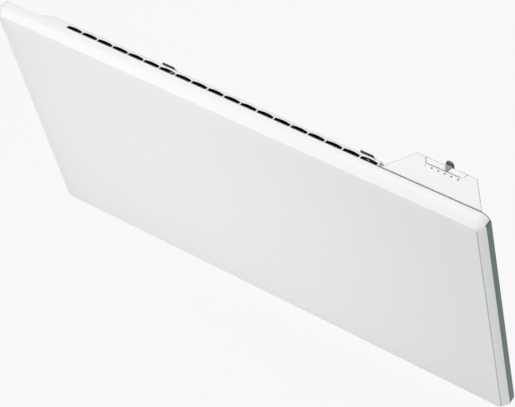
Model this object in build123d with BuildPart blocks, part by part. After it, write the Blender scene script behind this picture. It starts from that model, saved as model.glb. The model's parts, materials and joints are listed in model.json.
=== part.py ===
from build123d import *
import os
from math import atan2, cos, degrees, hypot, pi, radians, sin

# Wall panel convector heater.
# Millimetres, +Z up. The wall is the plane y = 0 and the room is towards -Y. The origin lies on the wall
# behind the middle of the panel. "Reach" is a distance out from the wall, so a point at reach r has y = -r.

# ---------------------------------------------------------------- driving sizes
PANEL_WIDTH = 720.0
PANEL_HEIGHT = 392.0
OVERALL_REACH = 63.0
PANEL_SHEET = 1.0
BEVEL_INSET = 7.0
BEVEL_DEPTH = 9.7
RETURN_DEPTH = 10.5
PANEL_CORNER_RADIUS = 13.0
FACE_CORNER_RADIUS = 0.6

CASING_SHEET = 0.8
CASING_NEST_CLEARANCE = 0.15
CASING_FLANGE_SETBACK = 0.4
CASING_RETURN_DEPTH = 8.0
PAN_SIDE_MARGIN = 61.0
PAN_BOTTOM_MARGIN = 24.0
LEDGE_DEPTH = 7.0
LEDGE_END_SLANT = 18.0
PAN_BACK_REACH = 21.5
PAN_BACK_SIDE_SLANT = 9.0
PAN_BACK_TOP_DROP = 40.0
PAN_BACK_BOTTOM_RISE = 18.0
PAN_LEDGE_BOTTOM_RISE = 4.0
PAN_BEND_RADIUS = 5.0

OUTLET_SLOT_PITCH = 24.4
OUTLET_BRIDGE = 2.0
OUTLET_END_MARGIN = 106.6
OUTLET_SLOT_UNDERLAP = 1.2
OUTLET_SLOT_END_DEPTH = 3.6
OUTLET_SLOT_CROWN = 1.2
INLET_SLOT_PITCH = 24.4
INLET_SLOT_LENGTH = 19.0
INLET_SLOT_WIDTH = 7.0
INLET_END_MARGIN = 27.0

ARM_LEFT_MARGIN = 259.7
ARM_BAY_DISTANCE = 21.5
ARM_WIDTH = 17.0
ARM_CASING_GAP = 2.0
ARM_SHEET = 1.5
ARM_END_MARGIN = 70.0
WALL_SCREW_END_MARGIN = 36.0
WALL_SCREW_HOLE_RADIUS = 2.75
HOOK_TOP_DROP = 31.0
HOOK_BOTTOM_RISE = 21.0
HOOK_RISE = 8.0
HOOK_NOTCH_WIDTH = 2.6
HOOK_TIP_WIDTH = 3.2
HOOK_ROOT_DEPTH = 8.0
HOOK_SLOT_SIDE_CLEARANCE = 1.0
HOOK_SLOT_SPARE = 1.5
LIFT_TRAVEL = 10.0
CROSSBAR_HEIGHT = 50.0

CATCH_PIVOT_REACH = 12.0
CATCH_PIVOT_DROP = 10.0
CATCH_PIN_RADIUS = 2.0
CATCH_SHEET = 1.8
CATCH_SIDE_CLEARANCE = 0.3
CATCH_NOSE_WIDTH = 10.0
CATCH_SLOT_TOP_DROP = 8.85
CATCH_SLOT_HEIGHT = 12.5
CATCH_SLOT_SPARE = 2.0
RUNNING_CLEARANCE = 0.05

HOUSING_TOP_DROP = 0.5
HOUSING_HEIGHT = 71.5
HOUSING_COVER_HEIGHT = 25.5
HOUSING_WALL = 2.2
HOUSING_END_MARGIN = 11.0
HOUSING_FRONT_WIDTH = 135.7
HOUSING_LEFT_SLANT = 26.6
HOUSING_RIGHT_SLANT = 29.0
HOUSING_REAR_REACH = 5.3
HOUSING_SIDE_GAP = 2.9
HOUSING_UNDER_GAP = 4.0

SCALE_START = 44.7
SCALE_END_MARGIN = 47.4
KNOB_REST_SHARE = 0.557
KNOB_WIDTH = 10.0
KNOB_THICKNESS = 3.3
KNOB_RISE = 5.6
KNOB_HANG = 4.5
KNOB_WALL_GAP = 0.4
SCOOP_DEPTH = 8.2
SCOOP_REAR_DROP = 0.3
SCOOP_FRONT_DROP = 2.6
SCOOP_SIDE_FLARE = 4.9
SCOOP_END_CLEARANCE = 1.5

SHIELD_SHEET = 0.6
SHIELD_STANDOFF = 6.5
SHIELD_LOW_RISE = 36.0
SHIELD_KNEE_DROP = 4.0
SHIELD_TOP_DROP = 4.5
SHIELD_SLOT_GAP = 0.6
SHIELD_RIVET_MARGIN = 57.0
SHIELD_RIVET_DROP = 80.0
END_PLATE_SHEET = 0.8
END_PLATE_SHIELD_GAP = 0.2
END_PLATE_PANEL_GAP = 1.5
DUCT_LEFT_STEP = 6.4
DUCT_BAY_GAP = 4.4
ELEMENT_RISE = 91.0
ELEMENT_TUBE_RADIUS = 4.0
FIN_HALF_HEIGHT = 32.0
FIN_PANEL_GAP = 4.0
FIN_SHIELD_GAP = 3.4
LEAD_RADIUS = 1.3

POST_RADIUS = 4.0
POST_BORE_DEPTH = 10.0
POST_END_MARGIN = 46.0
POST_ROW_HALF = 200.0
POST_BAY_DISTANCE = 25.0
POST_SCREW_RADIUS = 1.5
SCREW_CLEARANCE = 0.2
SCREW_HEAD_RADIUS = 3.2
SCREW_HEAD_HEIGHT = 2.0
SCREW_HEAD_TAPER = 0.6
SCREW_DRIVE_RADIUS = 1.7
SCREW_DRIVE_WIDTH = 0.7
RIVET_RADIUS = 1.6
RIVET_SHOULDER_RADIUS = 3.5
RIVET_HEAD_RADIUS = 3.2
RIVET_HEAD_HEIGHT = 1.1
RIVET_HEAD_TAPER = 0.7
BUFFER_STEM_RADIUS = 3.0
BUFFER_SIDE_MARGIN = 42.0
BUFFER_RISE = 25.0
EARTH_SCREW_RADIUS = 2.0
EARTH_BAY_DISTANCE = 20.0
EARTH_SIDE_MARGIN = 12.0
GROMMET_RADIUS = 6.0
GROMMET_RISE = 32.0
HOUSING_SCREW_RADIUS = 1.75
HOUSING_SCREW_INSET = 15.0
HOUSING_SCREW_RISE = 10.0
HOUSING_SCREW_TOP_RISE = 36.0
INSULATOR_RADIUS = 7.0
INSULATOR_RIM = 2.5
INSULATOR_RIM_THICKNESS = 2.0
INSULATOR_BODY_LENGTH = 12.0
TUBE_OVERHANG = 8.0
FIN_END_GAP = 14.0
FIN_HUB_WALL = 2.2
FIN_ROOT_HALF = 2.6
FIN_TIP_WIDTH = 1.6
TERMINAL_PIN_RADIUS = 1.5
TERMINAL_PIN_GRIP = 6.0
TERMINAL_PIN_REACH = 6.0
CUTOUT_RISE = 70.0
CUTOUT_RADIUS = 8.0
CUTOUT_DISC_LENGTH = 5.0
CUTOUT_CAP_LENGTH = 4.0
CUTOUT_STEP = 1.2
CUTOUT_BLADE_SPREAD = 5.0
CUTOUT_BLADE_WIDTH = 4.0
CUTOUT_BLADE_THICKNESS = 0.8
CUTOUT_BLADE_LENGTH = 6.0
STRAP_EAR = 7.0
STRAP_WIDTH = 9.0
STRAP_SHEET = 0.6
STRAP_COLLAR_WALL = 1.0
STRAP_CORNER_RADIUS = 2.5
STRAP_RIVET_RADIUS = 2.4

HOUSING_CORNER_RADIUS = 1.5
HOUSING_EDGE_RADIUS = 0.8
HOUSING_RIM = 3.0
HOUSING_RIM_WALL = 1.2
BOARD_STEP = 3.5
BOARD_GAP = 0.5
BOARD_THICKNESS = 1.6
PILLAR_RADIUS = 2.5
PILLAR_FRONT_INSET = 25.0
PILLAR_FRONT_SETBACK = 9.4
PILLAR_REAR_INSET = 12.0
PILLAR_REAR_SETBACK = 6.2
BOSS_LENGTH = 12.0
BOSS_RADIUS = 4.0
BOSS_END_GAP = 1.0
GROMMET_LIP = 1.2
GROMMET_BORE_RADIUS = 4.5
GLAND_STEP = 48.7
GLAND_REAR_DISTANCE = 8.7
GLAND_COLLAR = 3.0
GLAND_COLLAR_RADIUS = 6.8
GLAND_BODY_RADIUS = 5.2
GLAND_BORE_RADIUS = 3.6
GLAND_LENGTH = 14.0
GLAND_NUT_RADIUS = 7.0
GLAND_NUT_HEIGHT = 4.0
VENT_STEP = 92.7
VENT_FRONT_DISTANCE = 15.4
VENT_COUNT = 5
VENT_PITCH = 4.0
VENT_LENGTH = 10.0
VENT_WIDTH = 1.8
MOULDED_CORNER_RADIUS = 0.8
POT_HEIGHT = 6.5
POT_FLOOR = 1.5
POT_WIDTH = 8.0
POT_END = 6.0
POT_FORWARD = 4.0
WIPER_WIDTH = 2.4
WIPER_THICKNESS = 1.2
WIPER_CLEARANCE = 0.3
CARRIAGE_LIFT = 0.6
CARRIAGE_LENGTH = 12.0
CARRIAGE_WIDTH = 8.0
CARRIAGE_HEIGHT = 3.0
STEM_WIDTH = 2.0
STEM_THICKNESS = 1.2
STEM_CLEARANCE = 0.2
KNOB_EDGE_RADIUS = 0.5
KNOB_FLOOR_GAP = 0.3
POINTER_TIP_GAP = 0.2
POINTER_TIP_HALF = 0.8
POINTER_THICKNESS = 1.1
POINTER_BASE_INSET = 0.45
RELAY_STEP = 76.7
RELAY_FRONT_DISTANCE = 17.4
RELAY_LENGTH = 20.0
RELAY_WIDTH = 10.0
RELAY_HEIGHT = 15.0
TERMINAL_STEP = 48.7
TERMINAL_FRONT_DISTANCE = 14.4
TERMINAL_LENGTH = 27.0
TERMINAL_WIDTH = 12.0
TERMINAL_HEIGHT = 15.0
TERMINAL_SCREW_RADIUS = 2.2
TERMINAL_SCREW_DEPTH = 4.0
SENSOR_RADIUS = 2.0
SENSOR_LENGTH = 5.0
SENSOR_RISE = 1.0
SENSOR_TIP_RADIUS = 1.8
SENSOR_LEG_SPACING = 2.0
SENSOR_LEG_RADIUS = 0.35
EARTH_SCREW_LENGTH = 6.0
EARTH_NUT_HEIGHT = 2.5
LEAD_BEND_RADIUS = 3.5
LEAD_RISER_GAP = 4.0
LEAD_CROSSING_GAP = 6.0
LEAD_SPREAD_GAP = 0.52
LEAD_TURN_DISTANCE = 9.0
LEAD_DROP_RISE = 30.0
LEAD_BLADE_RISE = 42.0
NEUTRAL_DROP_STEP = 32.7
NEUTRAL_RUN_RISE = 85.0
BUFFER_BARB = 1.5
BUFFER_BARB_LIP = 1.0
BUFFER_WALL_GAP = 1.0
BUFFER_TIP_RADIUS = 6.0
BUFFER_ROOT_RADIUS = 8.5

HOOK_LEAD_IN = 0.4
WINDOW_CLEARANCE = 0.3
CROSSBAR_TAB_CLEARANCE = 1.0
CROSSBAR_RIVET_SPACING = 30.0
CROSSBAR_BEAD_SPACING = 24.0
CROSSBAR_BEAD_RADIUS = 1.3
CROSSBAR_BEAD_INSET = 7.5
CATCH_NECK_CLEARANCE = 1.5
CATCH_HUB_RADIUS = 4.2
CATCH_EAR_WIDTH = 3.0
CATCH_PIN_END = 1.2
CATCH_WINDOW_SPARE = 4.0
TONGUE_BACK_GAP = 5.0
TONGUE_BEND_DROP = 1.85
TONGUE_SLOPE_GAP = 3.6
TONGUE_SLOPE_DROP = 5.9
TONGUE_LEDGE_GAP = 2.0
NOSE_DEPTH = 4.0
NOSE_ROOT_RISE = 1.5
NOSE_TIP_DROP = 3.0
NOSE_HEEL_DROP = 1.5
SPRING_PITCH = 2.2
SPRING_TURNS = 2
SPRING_RADIUS = 3.2
SPRING_WIRE_RADIUS = 0.5
SPRING_TONGUE_LEG = 7.3
SPRING_LEAN_DEG = 30.0
SPRING_TOE_DEG = 10.0

os.makedirs("parts", exist_ok=True)

# ---------------------------------------------------------------- places worked out from them
panel_rear_reach = OVERALL_REACH - BEVEL_DEPTH - RETURN_DEPTH
bend_reach = OVERALL_REACH - BEVEL_DEPTH
face_width = PANEL_WIDTH - 2 * BEVEL_INSET
face_height = PANEL_HEIGHT - 2 * BEVEL_INSET
panel_inner_reach = OVERALL_REACH - PANEL_SHEET

flange_reach = panel_rear_reach - CASING_FLANGE_SETBACK
casing_gap = PANEL_SHEET + CASING_NEST_CLEARANCE
casing_width = PANEL_WIDTH - 2 * casing_gap
casing_height = PANEL_HEIGHT - 2 * casing_gap
casing_top_z = casing_height / 2
casing_corner_radius = PANEL_CORNER_RADIUS - casing_gap
flange_front_reach = flange_reach + CASING_SHEET
ledge_reach = flange_reach - LEDGE_DEPTH
pan_back_inner_reach = PAN_BACK_REACH + CASING_SHEET
screw_neck_radius = SCREW_HEAD_RADIUS - SCREW_HEAD_TAPER
rivet_neck_radius = RIVET_HEAD_RADIUS - RIVET_HEAD_TAPER

# the control housing and its bay, measured from the panel's right and top edges
half_width = PANEL_WIDTH / 2
half_height = PANEL_HEIGHT / 2
housing_front_right_x = half_width - HOUSING_END_MARGIN
housing_front_left_x = housing_front_right_x - HOUSING_FRONT_WIDTH
housing_rear_left_x = housing_front_left_x + HOUSING_LEFT_SLANT
housing_rear_right_x = housing_front_right_x - HOUSING_RIGHT_SLANT
housing_top_z = half_height - HOUSING_TOP_DROP
housing_bottom_z = housing_top_z - HOUSING_HEIGHT
housing_split_z = housing_top_z - HOUSING_COVER_HEIGHT
bay_left_x = housing_front_left_x - HOUSING_SIDE_GAP
bay_bottom_z = housing_bottom_z - HOUSING_UNDER_GAP
scale_first_x = housing_front_left_x + SCALE_START
scale_last_x = housing_front_right_x - SCALE_END_MARGIN
knob_rest_x = scale_first_x + KNOB_REST_SHARE * (scale_last_x - scale_first_x)
gland_x = housing_front_left_x + GLAND_STEP
gland_reach = HOUSING_REAR_REACH + GLAND_REAR_DISTANCE
terminal_x = housing_front_left_x + TERMINAL_STEP
terminal_reach = flange_reach - TERMINAL_FRONT_DISTANCE
relay_x = housing_front_left_x + RELAY_STEP
relay_reach = flange_reach - RELAY_FRONT_DISTANCE
vent_x = housing_front_left_x + VENT_STEP
vent_reach = flange_reach - VENT_FRONT_DISTANCE
neutral_drop_x = housing_front_left_x + NEUTRAL_DROP_STEP

# the bracket's arms and the duct
arm_reach = PAN_BACK_REACH - ARM_CASING_GAP
arm_top_z = half_height - ARM_END_MARGIN
arm_bottom_z = -arm_top_z
wall_screw_z = arm_top_z - WALL_SCREW_END_MARGIN
arms = {"left": -half_width + ARM_LEFT_MARGIN, "right": bay_left_x - ARM_BAY_DISTANCE}
hook_heights = (arm_top_z - HOOK_TOP_DROP, arm_bottom_z + HOOK_BOTTOM_RISE)
catch_pivot_z = arm_top_z - CATCH_PIVOT_DROP
catch_slot_high_z = casing_top_z - CATCH_SLOT_TOP_DROP
catch_slot_low_z = catch_slot_high_z - CATCH_SLOT_HEIGHT
outlet_first_x = -half_width + OUTLET_END_MARGIN
outlet_slot_count = int((bay_left_x - outlet_first_x) / OUTLET_SLOT_PITCH)
duct_left_x = outlet_first_x + DUCT_LEFT_STEP
duct_right_x = bay_left_x - DUCT_BAY_GAP
shield_reach = PAN_BACK_REACH + SHIELD_STANDOFF
shield_front_reach = shield_reach + SHIELD_SHEET
fin_half_depth = (panel_inner_reach - FIN_PANEL_GAP - shield_front_reach - FIN_SHIELD_GAP) / 2
element_reach = panel_inner_reach - FIN_PANEL_GAP - fin_half_depth
element_z = -half_height + ELEMENT_RISE
cutout_z = element_z + CUTOUT_RISE
neutral_run_z = element_z + NEUTRAL_RUN_RISE


# ---------------------------------------------------------------- small helpers
def edge_rectangle(left, right, bottom, top):
    """Adds a rectangle, given by its four edges, to the sketch in hand."""
    with Locations(((left + right) / 2, (bottom + top) / 2)):
        Rectangle(right - left, top - bottom)


def drum(reach, length, spots, radius, mode=Mode.ADD, far_radius=None):
    """Adds round bodies that stand on the plane at this reach and run towards the room."""
    taper = degrees(atan2(radius - far_radius, length)) if far_radius else 0
    with BuildSketch(Plane.XZ.offset(reach)) as rounds:
        with Locations(*spots):
            Circle(radius)
    extrude(rounds.sketch, amount=length, taper=taper, mode=mode)


# ---------------------------------------------------------------- front panel
# A flat face with sharp corners runs out over a steep bevel to a straight return with rounded corners.
bevel_slope = BEVEL_INSET / BEVEL_DEPTH
inner_bevel_shift = PANEL_SHEET * hypot(1, bevel_slope)
inner_face_margin = BEVEL_INSET - PANEL_SHEET * bevel_slope + inner_bevel_shift
inner_bend_reach = bend_reach + (PANEL_SHEET - inner_bevel_shift) / bevel_slope
inner_width = PANEL_WIDTH - 2 * PANEL_SHEET
inner_height = PANEL_HEIGHT - 2 * PANEL_SHEET
inner_corner_radius = PANEL_CORNER_RADIUS - PANEL_SHEET

with BuildPart() as front_panel:
    with BuildSketch(Plane.XZ.offset(bend_reach)):
        RectangleRounded(PANEL_WIDTH, PANEL_HEIGHT, PANEL_CORNER_RADIUS)
    with BuildSketch(Plane.XZ.offset(OVERALL_REACH)):
        RectangleRounded(face_width, face_height, FACE_CORNER_RADIUS)
    loft(ruled=True)
    with BuildSketch(Plane.XZ.offset(panel_rear_reach)):
        RectangleRounded(PANEL_WIDTH, PANEL_HEIGHT, PANEL_CORNER_RADIUS)
    extrude(amount=RETURN_DEPTH)
    with BuildSketch(Plane.XZ.offset(inner_bend_reach)):
        RectangleRounded(inner_width, inner_height, inner_corner_radius)
    with BuildSketch(Plane.XZ.offset(panel_inner_reach)):
        RectangleRounded(
            PANEL_WIDTH - 2 * inner_face_margin, PANEL_HEIGHT - 2 * inner_face_margin, FACE_CORNER_RADIUS
        )
    loft(ruled=True, mode=Mode.SUBTRACT)
    with BuildSketch(Plane.XZ.offset(panel_rear_reach)):
        RectangleRounded(inner_width, inner_height, inner_corner_radius)
    extrude(amount=inner_bend_reach - panel_rear_reach, mode=Mode.SUBTRACT)
front_panel.part.label = "front_panel"
export_step(front_panel.part, "parts/front_panel.step")

# ---------------------------------------------------------------- rear casing
# A pressed tray that nests in the panel. Its pan swells towards the wall: a narrow ledge level with the
# panel's top carries the warm-air slots, and a slope runs from the ledge down to the deep flat back.
flange_side_x = (PANEL_WIDTH - PAN_SIDE_MARGIN) / 2
flange_low_z = -(PANEL_HEIGHT - PAN_BOTTOM_MARGIN) / 2
upper_post_z = half_height - POST_END_MARGIN
bay_post_z = bay_bottom_z - POST_BAY_DISTANCE
post_spots = [(-flange_side_x, z) for z in (upper_post_z, 0, -upper_post_z)]
post_spots += [(x, flange_low_z) for x in (-POST_ROW_HALF, 0, POST_ROW_HALF)]
post_spots += [(flange_side_x, z) for z in (-upper_post_z, (bay_post_z - upper_post_z) / 2, bay_post_z)]
housing_screw_spots = [
    (housing_front_left_x + HOUSING_SCREW_INSET, housing_bottom_z + HOUSING_SCREW_RISE),
    (housing_front_right_x - HOUSING_SCREW_INSET, housing_bottom_z + HOUSING_SCREW_RISE),
    (relay_x, housing_bottom_z + HOUSING_SCREW_TOP_RISE),
]
pan_knee_z = casing_top_z - PAN_BACK_TOP_DROP
pan_back_half = half_width - PAN_SIDE_MARGIN - LEDGE_END_SLANT - PAN_BACK_SIDE_SLANT
pan_back_low_z = -half_height + PAN_BOTTOM_MARGIN + PAN_LEDGE_BOTTOM_RISE + PAN_BACK_BOTTOM_RISE
buffer_x = pan_back_half - BUFFER_SIDE_MARGIN
buffer_spots = [(-buffer_x, pan_back_low_z + BUFFER_RISE), (buffer_x, pan_back_low_z + BUFFER_RISE)]
shield_low_z = flange_low_z + SHIELD_LOW_RISE
shield_knee_z = pan_knee_z - SHIELD_KNEE_DROP
shield_rivet_spots = [
    (x, z)
    for x in (duct_left_x + SHIELD_RIVET_MARGIN, duct_right_x - SHIELD_RIVET_MARGIN)
    for z in (shield_low_z + SHIELD_RIVET_DROP, shield_knee_z - SHIELD_RIVET_DROP)
]
grommet_spot = (gland_x, housing_bottom_z + GROMMET_RISE)
earth_spot = (pan_back_half - EARTH_SIDE_MARGIN, bay_bottom_z - EARTH_BAY_DISTANCE)
inlet_slot_count = int(2 * (pan_back_half - INLET_END_MARGIN) / INLET_SLOT_PITCH)


def pan_sections(inset):
    """The pan's outline at the flange, at the ledge's rear and at the back: reach, half width, low, high."""
    side = half_width - PAN_SIDE_MARGIN - inset
    low = -half_height + PAN_BOTTOM_MARGIN + inset
    high = casing_top_z - inset
    return [
        (flange_reach, side, low, high),
        (ledge_reach + inset, side - LEDGE_END_SLANT, low + PAN_LEDGE_BOTTOM_RISE, high),
        (PAN_BACK_REACH + inset, pan_back_half - inset, pan_back_low_z + inset, high - PAN_BACK_TOP_DROP),
    ]


def pan_form(inset):
    """The pan as a solid, drawn in by inset, with the control housing's bay taken out of its corner."""
    sections = pan_sections(inset)
    with BuildPart() as form:
        for near, far in zip(sections, sections[1:]):
            for reach, side, low, high in (near, far):
                with BuildSketch(Plane.XZ.offset(reach)):
                    edge_rectangle(-side, side, low, high)
            loft(ruled=True)
        back_rim = form.faces().sort_by(Axis.Y)[-1].edges()
        fillet(back_rim, PAN_BEND_RADIUS - inset)
        with BuildSketch(Plane.XZ):
            edge_rectangle(bay_left_x - inset, PANEL_WIDTH, bay_bottom_z - inset, PANEL_HEIGHT)
        extrude(amount=flange_reach, mode=Mode.SUBTRACT)
    return form.part


pan_outer = pan_form(0)
pan_hollow = pan_form(CASING_SHEET)
slot_front_y = -(panel_rear_reach + OUTLET_SLOT_UNDERLAP)
slot_end_y = -(panel_rear_reach - OUTLET_SLOT_END_DEPTH)
hook_slot_width = ARM_WIDTH + 2 * HOOK_SLOT_SIDE_CLEARANCE
hook_slot_height = HOOK_ROOT_DEPTH + LIFT_TRAVEL + HOOK_SLOT_SPARE

with BuildPart() as rear_casing:
    with BuildSketch(Plane.XZ.offset(flange_reach)):
        RectangleRounded(casing_width, casing_height, casing_corner_radius)
    extrude(amount=CASING_RETURN_DEPTH)
    with BuildSketch(Plane.XZ.offset(flange_front_reach)):
        RectangleRounded(
            casing_width - 2 * CASING_SHEET,
            casing_height - 2 * CASING_SHEET,
            casing_corner_radius - CASING_SHEET,
        )
    extrude(amount=CASING_RETURN_DEPTH, mode=Mode.SUBTRACT)
    add(pan_outer)
    add(pan_hollow, mode=Mode.SUBTRACT)
    # the pan's mouth through the flange
    mouth_side, mouth_low, mouth_high = pan_sections(CASING_SHEET)[0][1:]
    with BuildSketch(Plane.XZ.offset(flange_reach)):
        edge_rectangle(-mouth_side, mouth_side, mouth_low, mouth_high)
        with Locations(((bay_left_x + PANEL_WIDTH) / 2, (bay_bottom_z + PANEL_HEIGHT) / 2)):
            Rectangle(
                PANEL_WIDTH - bay_left_x + 2 * CASING_SHEET,
                PANEL_HEIGHT - bay_bottom_z + 2 * CASING_SHEET,
                mode=Mode.SUBTRACT,
            )
    extrude(amount=CASING_SHEET, mode=Mode.SUBTRACT)
    # warm-air slots in the ledge, with a straight front edge and a bowed rear edge
    with BuildSketch(Plane.XY.offset(casing_top_z)):
        for index in range(outlet_slot_count):
            slot_left = outlet_first_x + index * OUTLET_SLOT_PITCH
            slot_right = slot_left + OUTLET_SLOT_PITCH - OUTLET_BRIDGE
            with BuildLine():
                Polyline(
                    (slot_left, slot_end_y), (slot_left, slot_front_y),
                    (slot_right, slot_front_y), (slot_right, slot_end_y),
                )
                ThreePointArc(
                    (slot_right, slot_end_y),
                    ((slot_left + slot_right) / 2, slot_end_y + OUTLET_SLOT_CROWN),
                    (slot_left, slot_end_y),
                )
            make_face()
    extrude(amount=-2 * CASING_SHEET, mode=Mode.SUBTRACT)
    # air inlet slots through the pan's underside
    inlet_y = -(ledge_reach + PAN_BACK_REACH) / 2
    with BuildSketch(Plane.XY.offset(-half_height + PAN_BOTTOM_MARGIN)):
        with Locations((0, inlet_y)):
            with GridLocations(INLET_SLOT_PITCH, 0, inlet_slot_count, 1):
                SlotOverall(INLET_SLOT_LENGTH, INLET_SLOT_WIDTH)
    extrude(amount=PAN_BACK_BOTTOM_RISE + PAN_LEDGE_BOTTOM_RISE, mode=Mode.SUBTRACT)
    # openings that the wall hooks and the catches' noses enter
    with BuildSketch(Plane.XZ.offset(PAN_BACK_REACH - CASING_SHEET)):
        for arm_x in arms.values():
            for hook_z in hook_heights:
                with Locations((arm_x, hook_z - hook_slot_height / 2)):
                    Rectangle(hook_slot_width, hook_slot_height)
    extrude(amount=3 * CASING_SHEET, mode=Mode.SUBTRACT)
    with BuildSketch(Plane.XZ.offset(PAN_BACK_REACH)):
        for arm_x in arms.values():
            with Locations((arm_x, (catch_slot_low_z + catch_slot_high_z) / 2)):
                Rectangle(CATCH_NOSE_WIDTH + CATCH_SLOT_SPARE, CATCH_SLOT_HEIGHT)
    extrude(amount=ledge_reach - PAN_BACK_REACH, mode=Mode.SUBTRACT)
    # holes for the fixings and for the leads
    for reach, spots, radius in (
        (flange_reach, post_spots, POST_SCREW_RADIUS + SCREW_CLEARANCE),
        (flange_reach, housing_screw_spots, HOUSING_SCREW_RADIUS + SCREW_CLEARANCE),
        (flange_reach, [grommet_spot], GROMMET_RADIUS + RUNNING_CLEARANCE),
        (PAN_BACK_REACH, shield_rivet_spots, RIVET_RADIUS + RUNNING_CLEARANCE),
        (PAN_BACK_REACH, buffer_spots, BUFFER_STEM_RADIUS + RUNNING_CLEARANCE),
        (PAN_BACK_REACH, [earth_spot], EARTH_SCREW_RADIUS + RUNNING_CLEARANCE),
    ):
        drum(reach, CASING_SHEET, spots, radius, Mode.SUBTRACT)
rear_casing.part.label = "rear_casing"
export_step(rear_casing.part, "parts/rear_casing.step")

# ---------------------------------------------------------------- posts and screws that hold casing to panel
with BuildPart() as mounting_posts:
    drum(flange_front_reach, panel_inner_reach - flange_front_reach, post_spots, POST_RADIUS)
    drum(flange_reach, POST_BORE_DEPTH, post_spots, POST_SCREW_RADIUS + RUNNING_CLEARANCE, Mode.SUBTRACT)
mounting_posts.part.label = "mounting_posts"
export_step(mounting_posts.part, "parts/mounting_posts.step")

with BuildPart() as casing_screws:
    drum(flange_reach, POST_BORE_DEPTH - 1, post_spots, POST_SCREW_RADIUS)
    drum(flange_reach - SCREW_HEAD_HEIGHT, SCREW_HEAD_HEIGHT, post_spots, screw_neck_radius,
         far_radius=SCREW_HEAD_RADIUS)
    with BuildSketch(Plane.XZ.offset(flange_reach - SCREW_HEAD_HEIGHT)):
        with Locations(*post_spots):
            SlotOverall(2 * SCREW_DRIVE_RADIUS, SCREW_DRIVE_WIDTH)
            SlotOverall(2 * SCREW_DRIVE_RADIUS, SCREW_DRIVE_WIDTH, rotation=90)
    extrude(amount=SCREW_HEAD_HEIGHT / 2, mode=Mode.SUBTRACT)
casing_screws.part.label = "casing_screws"
export_step(casing_screws.part, "parts/casing_screws.step")

# ---------------------------------------------------------------- heat shield, its rivets and the duct's ends
# The shield hangs in front of the casing's back and leans forward at the top to lead warm air to the slots.
# profile points: (y, z) from the lower edge up
shield_top_z = casing_top_z - SHIELD_TOP_DROP
shield_top_reach = panel_rear_reach - OUTLET_SLOT_END_DEPTH - SHIELD_SLOT_GAP
shield_path = [
    (-shield_reach, shield_low_z),
    (-shield_reach, shield_knee_z),
    (-shield_top_reach, shield_top_z),
]
duct_length = duct_right_x - duct_left_x

with BuildPart() as heat_shield:
    with BuildSketch(Plane.YZ.offset(duct_left_x)):
        with BuildLine():
            Polyline(*shield_path)
            offset(amount=SHIELD_SHEET, side=Side.LEFT)
        make_face()
    extrude(amount=duct_length)
    drum(shield_reach, SHIELD_SHEET, shield_rivet_spots, RIVET_RADIUS + RUNNING_CLEARANCE, Mode.SUBTRACT)
heat_shield.part.label = "heat_shield"
export_step(heat_shield.part, "parts/heat_shield.step")

with BuildPart() as shield_rivets:
    drum(PAN_BACK_REACH, shield_front_reach - PAN_BACK_REACH, shield_rivet_spots, RIVET_RADIUS)
    drum(pan_back_inner_reach, shield_reach - pan_back_inner_reach, shield_rivet_spots, RIVET_SHOULDER_RADIUS)
    drum(PAN_BACK_REACH - RIVET_HEAD_HEIGHT, RIVET_HEAD_HEIGHT, shield_rivet_spots, rivet_neck_radius,
         far_radius=RIVET_HEAD_RADIUS)
    drum(shield_front_reach, RIVET_HEAD_HEIGHT, shield_rivet_spots, RIVET_HEAD_RADIUS,
         far_radius=rivet_neck_radius)
shield_rivets.part.label = "shield_rivets"
export_step(shield_rivets.part, "parts/shield_rivets.step")

plate_rear_reach = shield_front_reach + END_PLATE_SHIELD_GAP
plate_front_reach = panel_inner_reach - END_PLATE_PANEL_GAP
for side, plate_x in {"left": duct_left_x, "right": duct_right_x - END_PLATE_SHEET}.items():
    with BuildPart() as duct_end_plate:
        with BuildSketch(Plane.YZ.offset(plate_x)):
            Polygon(
                (-plate_front_reach, shield_low_z),
                (-plate_rear_reach, shield_low_z),
                (-plate_rear_reach, shield_knee_z),
                (-shield_top_reach - 2 * SHIELD_SHEET, shield_top_z),
                (-bend_reach + PANEL_SHEET, shield_top_z),
                (-plate_front_reach, casing_top_z - 2 * BEVEL_INSET),
                align=None,
            )
            with Locations((-element_reach, element_z)):
                Circle(INSULATOR_RADIUS + RUNNING_CLEARANCE, mode=Mode.SUBTRACT)
        extrude(amount=END_PLATE_SHEET)
    duct_end_plate.part.label = f"duct_end_plate_{side}"
    export_step(duct_end_plate.part, f"parts/duct_end_plate_{side}.step")

# ---------------------------------------------------------------- heating element
# A steel tube element pressed through a finned aluminium body, carried by ceramic bushes in the end plates.
fins_left_x = duct_left_x + FIN_END_GAP
fins_right_x = duct_right_x - FIN_END_GAP
tube_left_x = duct_left_x - TUBE_OVERHANG
tube_right_x = duct_right_x + TUBE_OVERHANG

with BuildPart() as element_fins:
    with BuildSketch(Plane.YZ.offset(fins_left_x)):
        with Locations((-element_reach, element_z)):
            Circle(ELEMENT_TUBE_RADIUS + FIN_HUB_WALL)
            for lean_y in (-1, 1):
                for lean_z in (-1, 1):
                    Polygon(
                        (0, lean_z * FIN_ROOT_HALF), (lean_y * fin_half_depth, lean_z * FIN_HALF_HEIGHT),
                        (lean_y * (fin_half_depth - FIN_TIP_WIDTH), lean_z * FIN_HALF_HEIGHT),
                        (-lean_y * FIN_ROOT_HALF, 0), (lean_y * FIN_ROOT_HALF, 0),
                        align=None,
                    )
            Circle(ELEMENT_TUBE_RADIUS + RUNNING_CLEARANCE, mode=Mode.SUBTRACT)
    extrude(amount=fins_right_x - fins_left_x)
element_fins.part.label = "element_fins"
export_step(element_fins.part, "parts/element_fins.step")

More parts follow.
